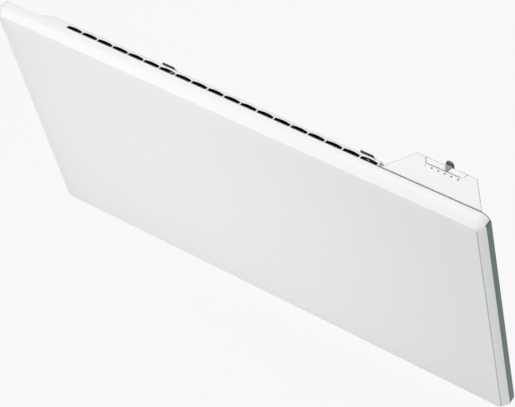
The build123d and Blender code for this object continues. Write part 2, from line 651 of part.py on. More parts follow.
with BuildPart() as element_tube:
    with BuildSketch(Plane.YZ.offset(tube_left_x)):
        with Locations((-element_reach, element_z)):
            Circle(ELEMENT_TUBE_RADIUS)
    extrude(amount=tube_right_x - tube_left_x)
    for end_x, inward in ((tube_left_x, 1), (tube_right_x, -1)):
        with BuildSketch(Plane.YZ.offset(end_x)):
            with Locations((-element_reach, element_z)):
                Circle(TERMINAL_PIN_RADIUS + RUNNING_CLEARANCE)
        extrude(amount=inward * TERMINAL_PIN_GRIP, mode=Mode.SUBTRACT)
element_tube.part.label = "element_tube"
export_step(element_tube.part, "parts/element_tube.step")

with BuildPart() as element_terminals:
    for end_x, outward in ((tube_left_x, -1), (tube_right_x, 1)):
        with BuildSketch(Plane.YZ.offset(end_x - outward * TERMINAL_PIN_GRIP)):
            with Locations((-element_reach, element_z)):
                Circle(TERMINAL_PIN_RADIUS)
        extrude(amount=outward * (TERMINAL_PIN_GRIP + TERMINAL_PIN_REACH))
element_terminals.part.label = "element_terminals"
export_step(element_terminals.part, "parts/element_terminals.step")

with BuildPart() as element_insulators:
    for plate_x, outward in ((duct_left_x, -1), (duct_right_x, 1)):
        with BuildSketch(Plane.YZ.offset(plate_x - outward * INSULATOR_BODY_LENGTH / 2)):
            with Locations((-element_reach, element_z)):
                Circle(INSULATOR_RADIUS)
                Circle(ELEMENT_TUBE_RADIUS + RUNNING_CLEARANCE, mode=Mode.SUBTRACT)
        extrude(amount=outward * INSULATOR_BODY_LENGTH)
        with BuildSketch(Plane.YZ.offset(plate_x)):
            with Locations((-element_reach, element_z)):
                Circle(INSULATOR_RADIUS + INSULATOR_RIM)
                Circle(ELEMENT_TUBE_RADIUS + RUNNING_CLEARANCE, mode=Mode.SUBTRACT)
        extrude(amount=outward * INSULATOR_RIM_THICKNESS)
element_insulators.part.label = "element_insulators"
export_step(element_insulators.part, "parts/element_insulators.step")

# ---------------------------------------------------------------- thermal cut-out and its strap
with BuildPart() as thermal_cutout:
    with BuildSketch(Plane.YZ.offset(duct_right_x)):
        with Locations((-element_reach, cutout_z)):
            Circle(CUTOUT_RADIUS)
    extrude(amount=CUTOUT_DISC_LENGTH)
    with BuildSketch(Plane.YZ.offset(duct_right_x + CUTOUT_DISC_LENGTH)):
        with Locations((-element_reach, cutout_z)):
            Circle(CUTOUT_RADIUS - CUTOUT_STEP)
    extrude(amount=CUTOUT_CAP_LENGTH)
    with BuildSketch(Plane.YZ.offset(duct_right_x + CUTOUT_DISC_LENGTH + CUTOUT_CAP_LENGTH)):
        with Locations((-element_reach, cutout_z)):
            with GridLocations(0, 2 * CUTOUT_BLADE_SPREAD, 1, 2):
                Rectangle(CUTOUT_BLADE_WIDTH, CUTOUT_BLADE_THICKNESS)
    extrude(amount=CUTOUT_BLADE_LENGTH)
thermal_cutout.part.label = "thermal_cutout"
export_step(thermal_cutout.part, "parts/thermal_cutout.step")

with BuildPart() as cutout_strap:
    with BuildSketch(Plane.YZ.offset(duct_right_x)):
        with Locations((-element_reach, cutout_z)):
            RectangleRounded(STRAP_WIDTH, 2 * CUTOUT_RADIUS + 2 * STRAP_EAR, STRAP_CORNER_RADIUS)
            Circle(CUTOUT_RADIUS + STRAP_COLLAR_WALL)
            Circle(CUTOUT_RADIUS + RUNNING_CLEARANCE, mode=Mode.SUBTRACT)
    extrude(amount=STRAP_SHEET)
    with BuildSketch(Plane.YZ.offset(duct_right_x + STRAP_SHEET)):
        with Locations((-element_reach, cutout_z)):
            Circle(CUTOUT_RADIUS + STRAP_COLLAR_WALL)
            Circle(CUTOUT_RADIUS + RUNNING_CLEARANCE, mode=Mode.SUBTRACT)
            with GridLocations(0, 2 * CUTOUT_RADIUS + STRAP_EAR + STRAP_COLLAR_WALL, 1, 2):
                Circle(STRAP_RIVET_RADIUS)
    extrude(amount=RIVET_HEAD_HEIGHT)
cutout_strap.part.label = "cutout_strap"
export_step(cutout_strap.part, "parts/cutout_strap.step")

# ---------------------------------------------------------------- control housing: base and cover
# In plan the housing is a trapezoid whose long side stands against the casing's flange. It holds the
# thermostat. The cover's rear edge is scooped out for the slider.
housing_corners = [
    (housing_front_left_x, -flange_reach), (housing_rear_left_x, -HOUSING_REAR_REACH),
    (housing_rear_right_x, -HOUSING_REAR_REACH), (housing_front_right_x, -flange_reach),
]
scoop_front_y = -(HOUSING_REAR_REACH + SCOOP_DEPTH)
scoop_left_x = scale_first_x - KNOB_WIDTH / 2 - SCOOP_END_CLEARANCE
scoop_right_x = scale_last_x + KNOB_WIDTH / 2 + SCOOP_END_CLEARANCE
stem_slot_y = scoop_front_y + STEM_CLEARANCE + STEM_THICKNESS / 2
tab_front_y = -HOUSING_REAR_REACH + KNOB_WALL_GAP


def scoop_floor_z(y):
    """Height of the scoop's floor, which falls from the housing's rear edge towards the room."""
    share = (-HOUSING_REAR_REACH - y) / SCOOP_DEPTH
    return housing_top_z - SCOOP_REAR_DROP - share * (SCOOP_FRONT_DROP - SCOOP_REAR_DROP)


def housing_block(inset, low_z, high_z):
    """The housing's trapezoid as a solid between two heights, drawn in by inset."""
    with BuildPart() as block:
        with BuildSketch(Plane.XY.offset(low_z)):
            Polygon(*housing_corners, align=None)
            if inset:
                offset(amount=-inset, kind=Kind.INTERSECTION)
        extrude(amount=high_z - low_z)
        if not inset:
            fillet(block.edges().filter_by(Axis.Z).group_by(Axis.Y)[-1], HOUSING_CORNER_RADIUS)
    return block.part


def scoop_form(grow):
    """The scoop's space, grown by this much on every side but the top for the wall round it."""
    with BuildPart() as form:
        with BuildSketch(Plane.XY.offset(housing_top_z)):
            Polygon(
                (scoop_left_x + SCOOP_SIDE_FLARE - grow, scoop_front_y - grow),
                (scoop_left_x - grow, -HOUSING_REAR_REACH),
                (scoop_left_x - grow, 0),
                (scoop_right_x + grow, 0),
                (scoop_right_x + grow, -HOUSING_REAR_REACH),
                (scoop_right_x - SCOOP_SIDE_FLARE + grow, scoop_front_y - grow),
                align=None,
            )
        extrude(amount=-HOUSING_COVER_HEIGHT)
        with BuildSketch(Plane.YZ.offset(scoop_left_x - 2 * grow)):
            Polygon(
                (scoop_front_y - grow, housing_top_z + KNOB_RISE),
                (scoop_front_y - grow, scoop_floor_z(scoop_front_y - grow) - grow),
                (0, scoop_floor_z(0) - grow),
                (0, housing_top_z + KNOB_RISE),
                align=None,
            )
        extrude(amount=scoop_right_x - scoop_left_x + 4 * grow, mode=Mode.INTERSECT)
    return form.part


housing_hollow = housing_block(HOUSING_WALL, housing_split_z, housing_top_z - HOUSING_WALL)
with BuildPart() as cover_block:
    add(housing_block(0, housing_split_z, housing_top_z))
    fillet(cover_block.faces().sort_by(Axis.Z)[-1].edges(), HOUSING_EDGE_RADIUS)

with BuildPart() as control_housing_cover:
    add(cover_block.part)
    add(housing_hollow, mode=Mode.SUBTRACT)
    add(scoop_form(HOUSING_WALL))
    add(cover_block.part, mode=Mode.INTERSECT)
    add(scoop_form(0), mode=Mode.SUBTRACT)
    # the slot that the slider's stem runs in
    with BuildSketch(Plane.XY.offset(housing_top_z)):
        slot_low_x = scale_first_x - STEM_WIDTH / 2 - STEM_CLEARANCE
        slot_high_x = scale_last_x + STEM_WIDTH / 2 + STEM_CLEARANCE
        edge_rectangle(
            slot_low_x, slot_high_x, stem_slot_y - STEM_THICKNESS / 2 - STEM_CLEARANCE,
            stem_slot_y + STEM_THICKNESS / 2 + STEM_CLEARANCE,
        )
    extrude(amount=-HOUSING_COVER_HEIGHT / 2, mode=Mode.SUBTRACT)
control_housing_cover.part.label = "control_housing_cover"
export_step(control_housing_cover.part, "parts/control_housing_cover.step")

board_low_z = housing_split_z + BOARD_STEP
rim_low_z = housing_split_z - HOUSING_RIM
rim_high_z = housing_split_z + HOUSING_RIM
boss_reach = flange_reach - BOSS_LENGTH
boss_bore_reach = boss_reach + HOUSING_WALL
pillar_front_y = -flange_reach + PILLAR_FRONT_SETBACK
pillar_rear_y = -HOUSING_REAR_REACH - PILLAR_REAR_SETBACK
pillar_spots = [
    (housing_front_left_x + PILLAR_FRONT_INSET, pillar_front_y),
    (housing_front_right_x - PILLAR_FRONT_INSET, pillar_front_y),
    (housing_rear_left_x + PILLAR_REAR_INSET, pillar_rear_y),
    (housing_rear_right_x - PILLAR_REAR_INSET, pillar_rear_y),
]
with BuildPart() as control_housing_base:
    add(housing_block(0, housing_bottom_z, housing_split_z))
    add(housing_block(HOUSING_WALL, housing_bottom_z + HOUSING_WALL, housing_split_z), mode=Mode.SUBTRACT)
    # a rim that the cover fits over
    add(housing_block(HOUSING_WALL + RUNNING_CLEARANCE, rim_low_z, rim_high_z))
    add(housing_block(HOUSING_WALL + HOUSING_RIM_WALL, rim_low_z, rim_high_z), mode=Mode.SUBTRACT)
    # pillars under the board
    with BuildSketch(Plane.XY.offset(housing_bottom_z + HOUSING_WALL)):
        with Locations(*pillar_spots):
            Circle(PILLAR_RADIUS)
    extrude(amount=board_low_z - housing_bottom_z - HOUSING_WALL)
    # screw bosses behind the front wall
    drum(boss_reach, BOSS_LENGTH, housing_screw_spots, BOSS_RADIUS)
    for reach, spots, radius in (
        (boss_bore_reach, housing_screw_spots, HOUSING_SCREW_RADIUS + RUNNING_CLEARANCE),
        (flange_reach - HOUSING_WALL, [grommet_spot], GROMMET_RADIUS + RUNNING_CLEARANCE),
    ):
        drum(reach, flange_reach - reach, spots, radius, Mode.SUBTRACT)
    # cord inlet and the room sensor's vents, through the floor
    with BuildSketch(Plane.XY.offset(housing_bottom_z)):
        with Locations((gland_x, -gland_reach)):
            Circle(GLAND_BODY_RADIUS + RUNNING_CLEARANCE)
        with Locations((vent_x, -vent_reach)):
            with GridLocations(VENT_PITCH, 0, VENT_COUNT, 1):
                SlotOverall(VENT_LENGTH, VENT_WIDTH, rotation=90)
    extrude(amount=HOUSING_WALL, mode=Mode.SUBTRACT)
control_housing_base.part.label = "control_housing_base"
export_step(control_housing_base.part, "parts/control_housing_base.step")

with BuildPart() as housing_screws:
    screw_end_reach = boss_bore_reach + BOSS_END_GAP
    drum(screw_end_reach, flange_front_reach - screw_end_reach, housing_screw_spots, HOUSING_SCREW_RADIUS)
    drum(flange_front_reach, SCREW_HEAD_HEIGHT, housing_screw_spots, SCREW_HEAD_RADIUS,
         far_radius=screw_neck_radius)
housing_screws.part.label = "housing_screws"
export_step(housing_screws.part, "parts/housing_screws.step")

with BuildPart() as lead_grommet:
    grommet_reach = flange_reach - HOUSING_WALL - GROMMET_LIP
    grommet_length = flange_front_reach + GROMMET_LIP - grommet_reach
    drum(grommet_reach, grommet_length, [grommet_spot], GROMMET_RADIUS)
    for lip_reach in (grommet_reach, flange_front_reach):
        drum(lip_reach, GROMMET_LIP, [grommet_spot], GROMMET_RADIUS + GROMMET_LIP)
    drum(grommet_reach, grommet_length, [grommet_spot], GROMMET_BORE_RADIUS, Mode.SUBTRACT)
lead_grommet.part.label = "lead_grommet"
export_step(lead_grommet.part, "parts/lead_grommet.step")

with BuildPart() as cord_gland:
    with BuildSketch(Plane.XY.offset(housing_bottom_z - GLAND_COLLAR)):
        with Locations((gland_x, -gland_reach)):
            Circle(GLAND_COLLAR_RADIUS)
    extrude(amount=GLAND_COLLAR)
    with BuildSketch(Plane.XY.offset(housing_bottom_z)):
        with Locations((gland_x, -gland_reach)):
            Circle(GLAND_BODY_RADIUS)
    extrude(amount=GLAND_LENGTH - GLAND_COLLAR)
    fillet(cord_gland.faces().sort_by(Axis.Z)[0].edges(), GLAND_COLLAR / 3)
    with BuildSketch(Plane.XY.offset(housing_bottom_z - GLAND_COLLAR)):
        with Locations((gland_x, -gland_reach)):
            Circle(GLAND_BORE_RADIUS)
    extrude(amount=GLAND_LENGTH, mode=Mode.SUBTRACT)
cord_gland.part.label = "cord_gland"
export_step(cord_gland.part, "parts/cord_gland.step")

with BuildPart() as gland_nut:
    with BuildSketch(Plane.XY.offset(housing_bottom_z + HOUSING_WALL)):
        with Locations((gland_x, -gland_reach)):
            RegularPolygon(GLAND_NUT_RADIUS, 6)
            Circle(GLAND_BODY_RADIUS + RUNNING_CLEARANCE, mode=Mode.SUBTRACT)
    extrude(amount=GLAND_NUT_HEIGHT)
gland_nut.part.label = "gland_nut"
export_step(gland_nut.part, "parts/gland_nut.step")

# ---------------------------------------------------------------- thermostat parts inside the housing
with BuildPart() as control_board:
    with BuildSketch(Plane.XY.offset(board_low_z)):
        Polygon(*housing_corners, align=None)
        offset(amount=-(HOUSING_WALL + HOUSING_RIM_WALL + BOARD_GAP), kind=Kind.INTERSECTION)
    extrude(amount=BOARD_THICKNESS)
control_board.part.label = "control_board"
export_step(control_board.part, "parts/control_board.step")

travel_mid_x = (scale_first_x + scale_last_x) / 2
travel = scale_last_x - scale_first_x
pot_low_z = board_low_z + BOARD_THICKNESS
pot_high_z = pot_low_z + POT_HEIGHT
pot_y = stem_slot_y - POT_FORWARD
carriage_low_z = pot_high_z + CARRIAGE_LIFT
with BuildPart() as slide_potentiometer:
    with BuildSketch(Plane.XY.offset(pot_low_z)):
        with Locations((travel_mid_x, pot_y)):
            RectangleRounded(travel + 2 * POT_END, POT_WIDTH, MOULDED_CORNER_RADIUS)
    extrude(amount=POT_HEIGHT)
    with BuildSketch(Plane.XY.offset(pot_high_z)):
        with Locations((travel_mid_x, pot_y)):
            Rectangle(travel + WIPER_WIDTH + 2 * WIPER_CLEARANCE, WIPER_THICKNESS + 2 * WIPER_CLEARANCE)
    extrude(amount=-(POT_HEIGHT - POT_FLOOR), mode=Mode.SUBTRACT)
slide_potentiometer.part.label = "slide_potentiometer"
export_step(slide_potentiometer.part, "parts/slide_potentiometer.step")

with BuildPart() as potentiometer_wiper:
    with BuildSketch(Plane.XY.offset(carriage_low_z)):
        with Locations((knob_rest_x, pot_y)):
            Rectangle(WIPER_WIDTH, WIPER_THICKNESS)
    extrude(amount=pot_low_z + POT_FLOOR + WIPER_CLEARANCE - carriage_low_z)
potentiometer_wiper.part.label = "potentiometer_wiper"
export_step(potentiometer_wiper.part, "parts/potentiometer_wiper.step")

with BuildPart() as slider_carriage:
    with BuildSketch(Plane.XY.offset(carriage_low_z)):
        with Locations((knob_rest_x, (stem_slot_y + pot_y) / 2)):
            RectangleRounded(CARRIAGE_LENGTH, CARRIAGE_WIDTH, MOULDED_CORNER_RADIUS)
        with Locations((knob_rest_x, stem_slot_y)):
            Rectangle(
                STEM_WIDTH + 2 * RUNNING_CLEARANCE, STEM_THICKNESS + 2 * RUNNING_CLEARANCE, mode=Mode.SUBTRACT
            )
    extrude(amount=CARRIAGE_HEIGHT)
slider_carriage.part.label = "slider_carriage"
export_step(slider_carriage.part, "parts/slider_carriage.step")

# The knob is a half-round thumb tab that stands behind the housing's rear wall. Its pointer reaches over the
# wall's edge into the scoop, and a stem under the pointer goes down through the slot.
tab_radius = KNOB_WIDTH / 2
tab_low_z = housing_top_z - KNOB_HANG
tab_high_z = housing_top_z + KNOB_RISE
tab_crown_z = tab_high_z - tab_radius
pointer_root_y = tab_front_y + KNOB_THICKNESS / 2
pointer_tip_y = scoop_front_y + POINTER_TIP_GAP
pointer_base_half = tab_radius - POINTER_BASE_INSET


def pointer_under_z(y):
    """Height of the pointer's underside, which lies over the scoop's floor."""
    return scoop_floor_z(y) + KNOB_FLOOR_GAP


with BuildPart() as thumb_tab:
    with BuildSketch(Plane.XZ.offset(-tab_front_y - KNOB_THICKNESS)):
        with Locations((knob_rest_x, tab_crown_z)):
            Circle(tab_radius)
        edge_rectangle(knob_rest_x - tab_radius, knob_rest_x + tab_radius, tab_low_z, tab_crown_z)
    extrude(amount=KNOB_THICKNESS)
    fillet(thumb_tab.faces().filter_by(Axis.Y).edges(), KNOB_EDGE_RADIUS)

with BuildPart() as slider_knob:
    # the pointer: a triangle in plan, cut to a thin slab that slopes with the scoop's floor
    with BuildSketch(Plane.XY.offset(tab_low_z)):
        Polygon(
            (knob_rest_x - POINTER_TIP_HALF, pointer_tip_y),
            (knob_rest_x - pointer_base_half, tab_front_y),
            (knob_rest_x - pointer_base_half, pointer_root_y),
            (knob_rest_x + pointer_base_half, pointer_root_y),
            (knob_rest_x + pointer_base_half, tab_front_y),
            (knob_rest_x + POINTER_TIP_HALF, pointer_tip_y),
            align=None,
        )
    extrude(amount=tab_high_z - tab_low_z)
    with BuildSketch(Plane.YZ.offset(knob_rest_x - KNOB_WIDTH)):
        Polygon(
            (pointer_tip_y, pointer_under_z(pointer_tip_y)),
            (pointer_root_y, pointer_under_z(pointer_root_y)),
            (pointer_root_y, pointer_under_z(pointer_root_y) + POINTER_THICKNESS),
            (pointer_tip_y, pointer_under_z(pointer_tip_y) + POINTER_THICKNESS),
            align=None,
        )
    extrude(amount=2 * KNOB_WIDTH, mode=Mode.INTERSECT)
    add(thumb_tab.part)
    with BuildSketch(Plane.XY.offset(carriage_low_z)):
        with Locations((knob_rest_x, stem_slot_y)):
            Rectangle(STEM_WIDTH, STEM_THICKNESS)
    extrude(amount=pointer_under_z(stem_slot_y) + POINTER_THICKNESS / 2 - carriage_low_z)
slider_knob.part.label = "slider_knob"
export_step(slider_knob.part, "parts/slider_knob.step")

with BuildPart() as power_relay:
    with BuildSketch(Plane.XY.offset(board_low_z)):
        with Locations((relay_x, -relay_reach)):
            RectangleRounded(RELAY_LENGTH, RELAY_WIDTH, MOULDED_CORNER_RADIUS)
    extrude(amount=-RELAY_HEIGHT)
power_relay.part.label = "power_relay"
export_step(power_relay.part, "parts/power_relay.step")

terminal_low_z = housing_bottom_z + HOUSING_WALL
terminal_high_z = terminal_low_z + TERMINAL_HEIGHT
terminal_lead_z = terminal_low_z + TERMINAL_HEIGHT / 3
with BuildPart() as terminal_block:
    with BuildSketch(Plane.XY.offset(terminal_low_z)):
        with Locations((terminal_x, -terminal_reach)):
            Rectangle(TERMINAL_LENGTH, TERMINAL_WIDTH)
    extrude(amount=TERMINAL_HEIGHT)
    with BuildSketch(Plane.XY.offset(terminal_high_z)):
        with Locations((terminal_x, -terminal_reach)):
            with GridLocations(TERMINAL_LENGTH / 3, 0, 3, 1):
                Circle(TERMINAL_SCREW_RADIUS)
    extrude(amount=-TERMINAL_SCREW_DEPTH, mode=Mode.SUBTRACT)
    with BuildSketch(Plane.XZ.offset(terminal_reach + TERMINAL_WIDTH / 2)):
        with Locations((terminal_x, terminal_lead_z)):
            with GridLocations(TERMINAL_LENGTH / 3, 0, 3, 1):
                Circle(LEAD_RADIUS + RUNNING_CLEARANCE)
    extrude(amount=-TERMINAL_WIDTH / 3, mode=Mode.SUBTRACT)
terminal_block.part.label = "terminal_block"
export_step(terminal_block.part, "parts/terminal_block.step")

with BuildPart() as terminal_screws:
    with BuildSketch(Plane.XY.offset(terminal_high_z - TERMINAL_SCREW_DEPTH)):
        with Locations((terminal_x, -terminal_reach)):
            with GridLocations(TERMINAL_LENGTH / 3, 0, 3, 1):
                Circle(TERMINAL_SCREW_RADIUS - RUNNING_CLEARANCE)
    extrude(amount=TERMINAL_SCREW_DEPTH / 2)
terminal_screws.part.label = "terminal_screws"
export_step(terminal_screws.part, "parts/terminal_screws.step")

sensor_low_z = housing_bottom_z + HOUSING_WALL + SENSOR_RISE
with BuildPart() as room_sensor:
    with BuildSketch(Plane.XY.offset(sensor_low_z)):
        with Locations((vent_x, -vent_reach)):
            Circle(SENSOR_RADIUS)
    extrude(amount=SENSOR_LENGTH)
    fillet(room_sensor.faces().sort_by(Axis.Z)[0].edges(), SENSOR_TIP_RADIUS)
    with BuildSketch(Plane.XY.offset(sensor_low_z + SENSOR_LENGTH)):
        with Locations((vent_x, -vent_reach)):
            with GridLocations(SENSOR_LEG_SPACING, 0, 2, 1):
                Circle(SENSOR_LEG_RADIUS)
    extrude(amount=board_low_z - sensor_low_z - SENSOR_LENGTH)
room_sensor.part.label = "room_sensor"
export_step(room_sensor.part, "parts/room_sensor.step")

# ---------------------------------------------------------------- earth screw and leads
with BuildPart() as earth_screw:
    drum(PAN_BACK_REACH, EARTH_SCREW_LENGTH, [earth_spot], EARTH_SCREW_RADIUS)
    drum(PAN_BACK_REACH - RIVET_HEAD_HEIGHT, RIVET_HEAD_HEIGHT, [earth_spot], screw_neck_radius,
         far_radius=SCREW_HEAD_RADIUS)
    drum(pan_back_inner_reach, EARTH_NUT_HEIGHT, [earth_spot], SCREW_HEAD_RADIUS)
earth_screw.part.label = "earth_screw"
export_step(earth_screw.part, "parts/earth_screw.step")

grommet_x, grommet_z = grommet_spot
lead_spread = LEAD_RADIUS + LEAD_SPREAD_GAP
terminal_xs = [terminal_x + step * TERMINAL_LENGTH / 3 for step in (-1, 0, 1)]
terminal_face_y = -(terminal_reach + TERMINAL_WIDTH / 2)
cutout_face_x = duct_right_x + CUTOUT_DISC_LENGTH + CUTOUT_CAP_LENGTH + CUTOUT_BLADE_LENGTH
riser_y = -(flange_front_reach + LEAD_RISER_GAP)
through_y = -(flange_reach - HOUSING_WALL - 2 * LEAD_RADIUS)
earth_face_y = -(pan_back_inner_reach + EARTH_SCREW_LENGTH)
behind_shield_y = -(pan_back_inner_reach + shield_reach) / 2
blade_turn_x = cutout_face_x + LEAD_TURN_DISTANCE
left_turn_x = tube_left_x - TERMINAL_PIN_REACH - LEAD_TURN_DISTANCE
earth_x, earth_z = earth_spot
inner_ends = {x: (x, terminal_face_y + TERMINAL_WIDTH / 3, terminal_lead_z) for x in terminal_xs}
upper_z = grommet_z + lead_spread / 2
lead_routes = {
    "lead_live": [
        inner_ends[terminal_x],
        (terminal_x, through_y, terminal_lead_z),
        (grommet_x, through_y, grommet_z - lead_spread),
        (grommet_x, riser_y, grommet_z - lead_spread),
        (blade_turn_x, -element_reach, cutout_z + LEAD_BLADE_RISE),
        (blade_turn_x, -element_reach, cutout_z + CUTOUT_BLADE_SPREAD),
        (cutout_face_x, -element_reach, cutout_z + CUTOUT_BLADE_SPREAD),
    ],
    "lead_cutout_to_element": [
        (cutout_face_x, -element_reach, cutout_z - CUTOUT_BLADE_SPREAD),
        (blade_turn_x, -element_reach, cutout_z - CUTOUT_BLADE_SPREAD),
        (blade_turn_x, -element_reach, element_z),
        (tube_right_x + TERMINAL_PIN_REACH, -element_reach, element_z),
    ],
    "lead_neutral": [
        inner_ends[terminal_xs[0]],
        (terminal_xs[0], through_y, terminal_lead_z),
        (terminal_xs[0], through_y, upper_z),
        (grommet_x - lead_spread, through_y, upper_z),
        (grommet_x - lead_spread, riser_y - LEAD_CROSSING_GAP, upper_z),
        (neutral_drop_x, riser_y - LEAD_CROSSING_GAP, neutral_run_z + LEAD_DROP_RISE),
        (neutral_drop_x, behind_shield_y, neutral_run_z),
        (tube_left_x - LEAD_RISER_GAP, behind_shield_y, neutral_run_z),
        (left_turn_x, -element_reach, neutral_run_z),
        (left_turn_x, -element_reach, element_z),
        (tube_left_x - TERMINAL_PIN_REACH, -element_reach, element_z),
    ],
    "lead_earth": [
        inner_ends[terminal_xs[2]],
        (terminal_xs[2], through_y, terminal_lead_z),
        (terminal_xs[2], through_y, upper_z),
        (grommet_x + lead_spread, through_y, upper_z),
        (grommet_x + lead_spread, riser_y - LEAD_CROSSING_GAP, upper_z),
        (earth_x, riser_y - LEAD_CROSSING_GAP, earth_z),
        (earth_x, earth_face_y, earth_z),
    ],
}
for lead_name, route_points in lead_routes.items():
    with BuildPart() as lead:
        with BuildLine():
            route = FilletPolyline(*route_points, radius=LEAD_BEND_RADIUS)
        with BuildSketch(Plane(origin=route @ 0, z_dir=route % 0)):
            Circle(LEAD_RADIUS)
        sweep()
    lead.part.label = lead_name
    export_step(lead.part, f"parts/{lead_name}.step")

# ---------------------------------------------------------------- rubber buffers between casing and wall
with BuildPart() as wall_buffers:
    drum(PAN_BACK_REACH, CASING_SHEET, buffer_spots, BUFFER_STEM_RADIUS)
    drum(pan_back_inner_reach, BUFFER_BARB, buffer_spots, BUFFER_STEM_RADIUS + BUFFER_BARB_LIP,
         far_radius=BUFFER_STEM_RADIUS - BUFFER_BARB_LIP)
    drum(BUFFER_WALL_GAP, PAN_BACK_REACH - BUFFER_WALL_GAP, buffer_spots, BUFFER_TIP_RADIUS,
         far_radius=BUFFER_ROOT_RADIUS)
wall_buffers.part.label = "wall_buffers"
export_step(wall_buffers.part, "parts/wall_buffers.step")

# ---------------------------------------------------------------- wall bracket
# Two channels stand on the wall, joined by a beaded crossbar. Their front edges carry upward hooks.
arm_height = arm_top_z - arm_bottom_z
hook_sheet_back = PAN_BACK_REACH - (HOOK_NOTCH_WIDTH - CASING_SHEET) / 2
hook_sheet_front = hook_sheet_back + HOOK_NOTCH_WIDTH
hook_tip_reach = hook_sheet_front + HOOK_TIP_WIDTH
for side, arm_x in arms.items():
    with BuildPart() as bracket_arm:
        with BuildSketch(Plane.XY.offset(arm_bottom_z)):
            with Locations((arm_x, -arm_reach / 2)):
                Rectangle(ARM_WIDTH, arm_reach)
            with Locations((arm_x, -arm_reach / 2 - ARM_SHEET / 2)):
                Rectangle(ARM_WIDTH - 2 * ARM_SHEET, arm_reach - ARM_SHEET, mode=Mode.SUBTRACT)
        extrude(amount=arm_height)
        # hooks on both cheeks
        for hook_z in hook_heights:
            hook_outline = [
                (-arm_reach, hook_z - HOOK_ROOT_DEPTH),
                (-arm_reach, hook_z),
                (-hook_sheet_front, hook_z),
                (-hook_sheet_front - HOOK_LEAD_IN, hook_z + HOOK_RISE),
                (-hook_tip_reach, hook_z + HOOK_RISE),
                (-hook_tip_reach, hook_z - HOOK_ROOT_DEPTH / 2),
                (-hook_sheet_front, hook_z - HOOK_ROOT_DEPTH),
            ]
            for cheek_x in (arm_x - ARM_WIDTH / 2, arm_x + ARM_WIDTH / 2 - ARM_SHEET):
                with BuildSketch(Plane.YZ.offset(cheek_x)):
                    Polygon(*hook_outline, align=None)
                extrude(amount=ARM_SHEET)
        # wall screw holes, crossbar window, rivet holes and the catch pin's hole
        with BuildSketch(Plane.XZ):
            with Locations((arm_x, 0)):
                with GridLocations(0, 2 * wall_screw_z, 1, 2):
                    Circle(WALL_SCREW_HOLE_RADIUS)
                with GridLocations(0, CROSSBAR_RIVET_SPACING, 1, 2):
                    Circle(RIVET_RADIUS + RUNNING_CLEARANCE)
        extrude(amount=ARM_SHEET, mode=Mode.SUBTRACT)
        inward = 1 if side == "left" else -1
        with BuildSketch(Plane.XZ):
            with Locations((arm_x + inward * (ARM_WIDTH - ARM_SHEET) / 2, 0)):
                Rectangle(ARM_SHEET + 2 * WINDOW_CLEARANCE, CROSSBAR_HEIGHT + 2 * WINDOW_CLEARANCE)
        extrude(amount=2 * ARM_SHEET + WINDOW_CLEARANCE, mode=Mode.SUBTRACT)
        with BuildSketch(Plane.YZ.offset(arm_x - ARM_WIDTH)):
            with Locations((-CATCH_PIVOT_REACH, catch_pivot_z)):
                Circle(CATCH_PIN_RADIUS + RUNNING_CLEARANCE)
        extrude(amount=2 * ARM_WIDTH, mode=Mode.SUBTRACT)
    bracket_arm.part.label = f"bracket_arm_{side}"
    export_step(bracket_arm.part, f"parts/bracket_arm_{side}.step")

bar_left_x = arms["left"] + ARM_WIDTH / 2
bar_right_x = arms["right"] - ARM_WIDTH / 2
bar_tab = ARM_WIDTH - 2 * ARM_SHEET - CROSSBAR_TAB_CLEARANCE
with BuildPart() as bracket_crossbar:
    with BuildSketch(Plane.XY.offset(-CROSSBAR_HEIGHT / 2)):
        with BuildLine():
            Polyline(
                (bar_left_x - bar_tab, -2 * ARM_SHEET),
                (bar_left_x + ARM_SHEET, -2 * ARM_SHEET),
                (bar_left_x + 3 * ARM_SHEET, -ARM_SHEET),
                (bar_right_x - 3 * ARM_SHEET, -ARM_SHEET),
                (bar_right_x - ARM_SHEET, -2 * ARM_SHEET),
                (bar_right_x + bar_tab, -2 * ARM_SHEET),
            )
            offset(amount=ARM_SHEET, side=Side.LEFT)
        make_face()
    extrude(amount=CROSSBAR_HEIGHT)
    with BuildSketch(Plane.YZ.offset(bar_left_x + CROSSBAR_BEAD_INSET)):
        with Locations((-ARM_SHEET, 0)):
            with GridLocations(0, CROSSBAR_BEAD_SPACING, 1, 2):
                Circle(CROSSBAR_BEAD_RADIUS)
    extrude(amount=bar_right_x - bar_left_x - 2 * CROSSBAR_BEAD_INSET)
    with BuildSketch(Plane.XZ):
        with Locations((arms["left"], 0), (arms["right"], 0)):
            with GridLocations(0, CROSSBAR_RIVET_SPACING, 1, 2):
                Circle(RIVET_RADIUS + RUNNING_CLEARANCE)
    extrude(amount=3 * ARM_SHEET, mode=Mode.SUBTRACT)
bracket_crossbar.part.label = "bracket_crossbar"
export_step(bracket_crossbar.part, "parts/bracket_crossbar.step")

bar_rivet_spots = [(x, z * CROSSBAR_RIVET_SPACING / 2) for x in arms.values() for z in (-1, 1)]
with BuildPart() as bracket_rivets:
    drum(0, 2 * ARM_SHEET, bar_rivet_spots, RIVET_RADIUS)
    drum(2 * ARM_SHEET, RIVET_HEAD_HEIGHT, bar_rivet_spots, RIVET_HEAD_RADIUS, far_radius=rivet_neck_radius)
bracket_rivets.part.label = "bracket_rivets"
export_step(bracket_rivets.part, "parts/bracket_rivets.step")

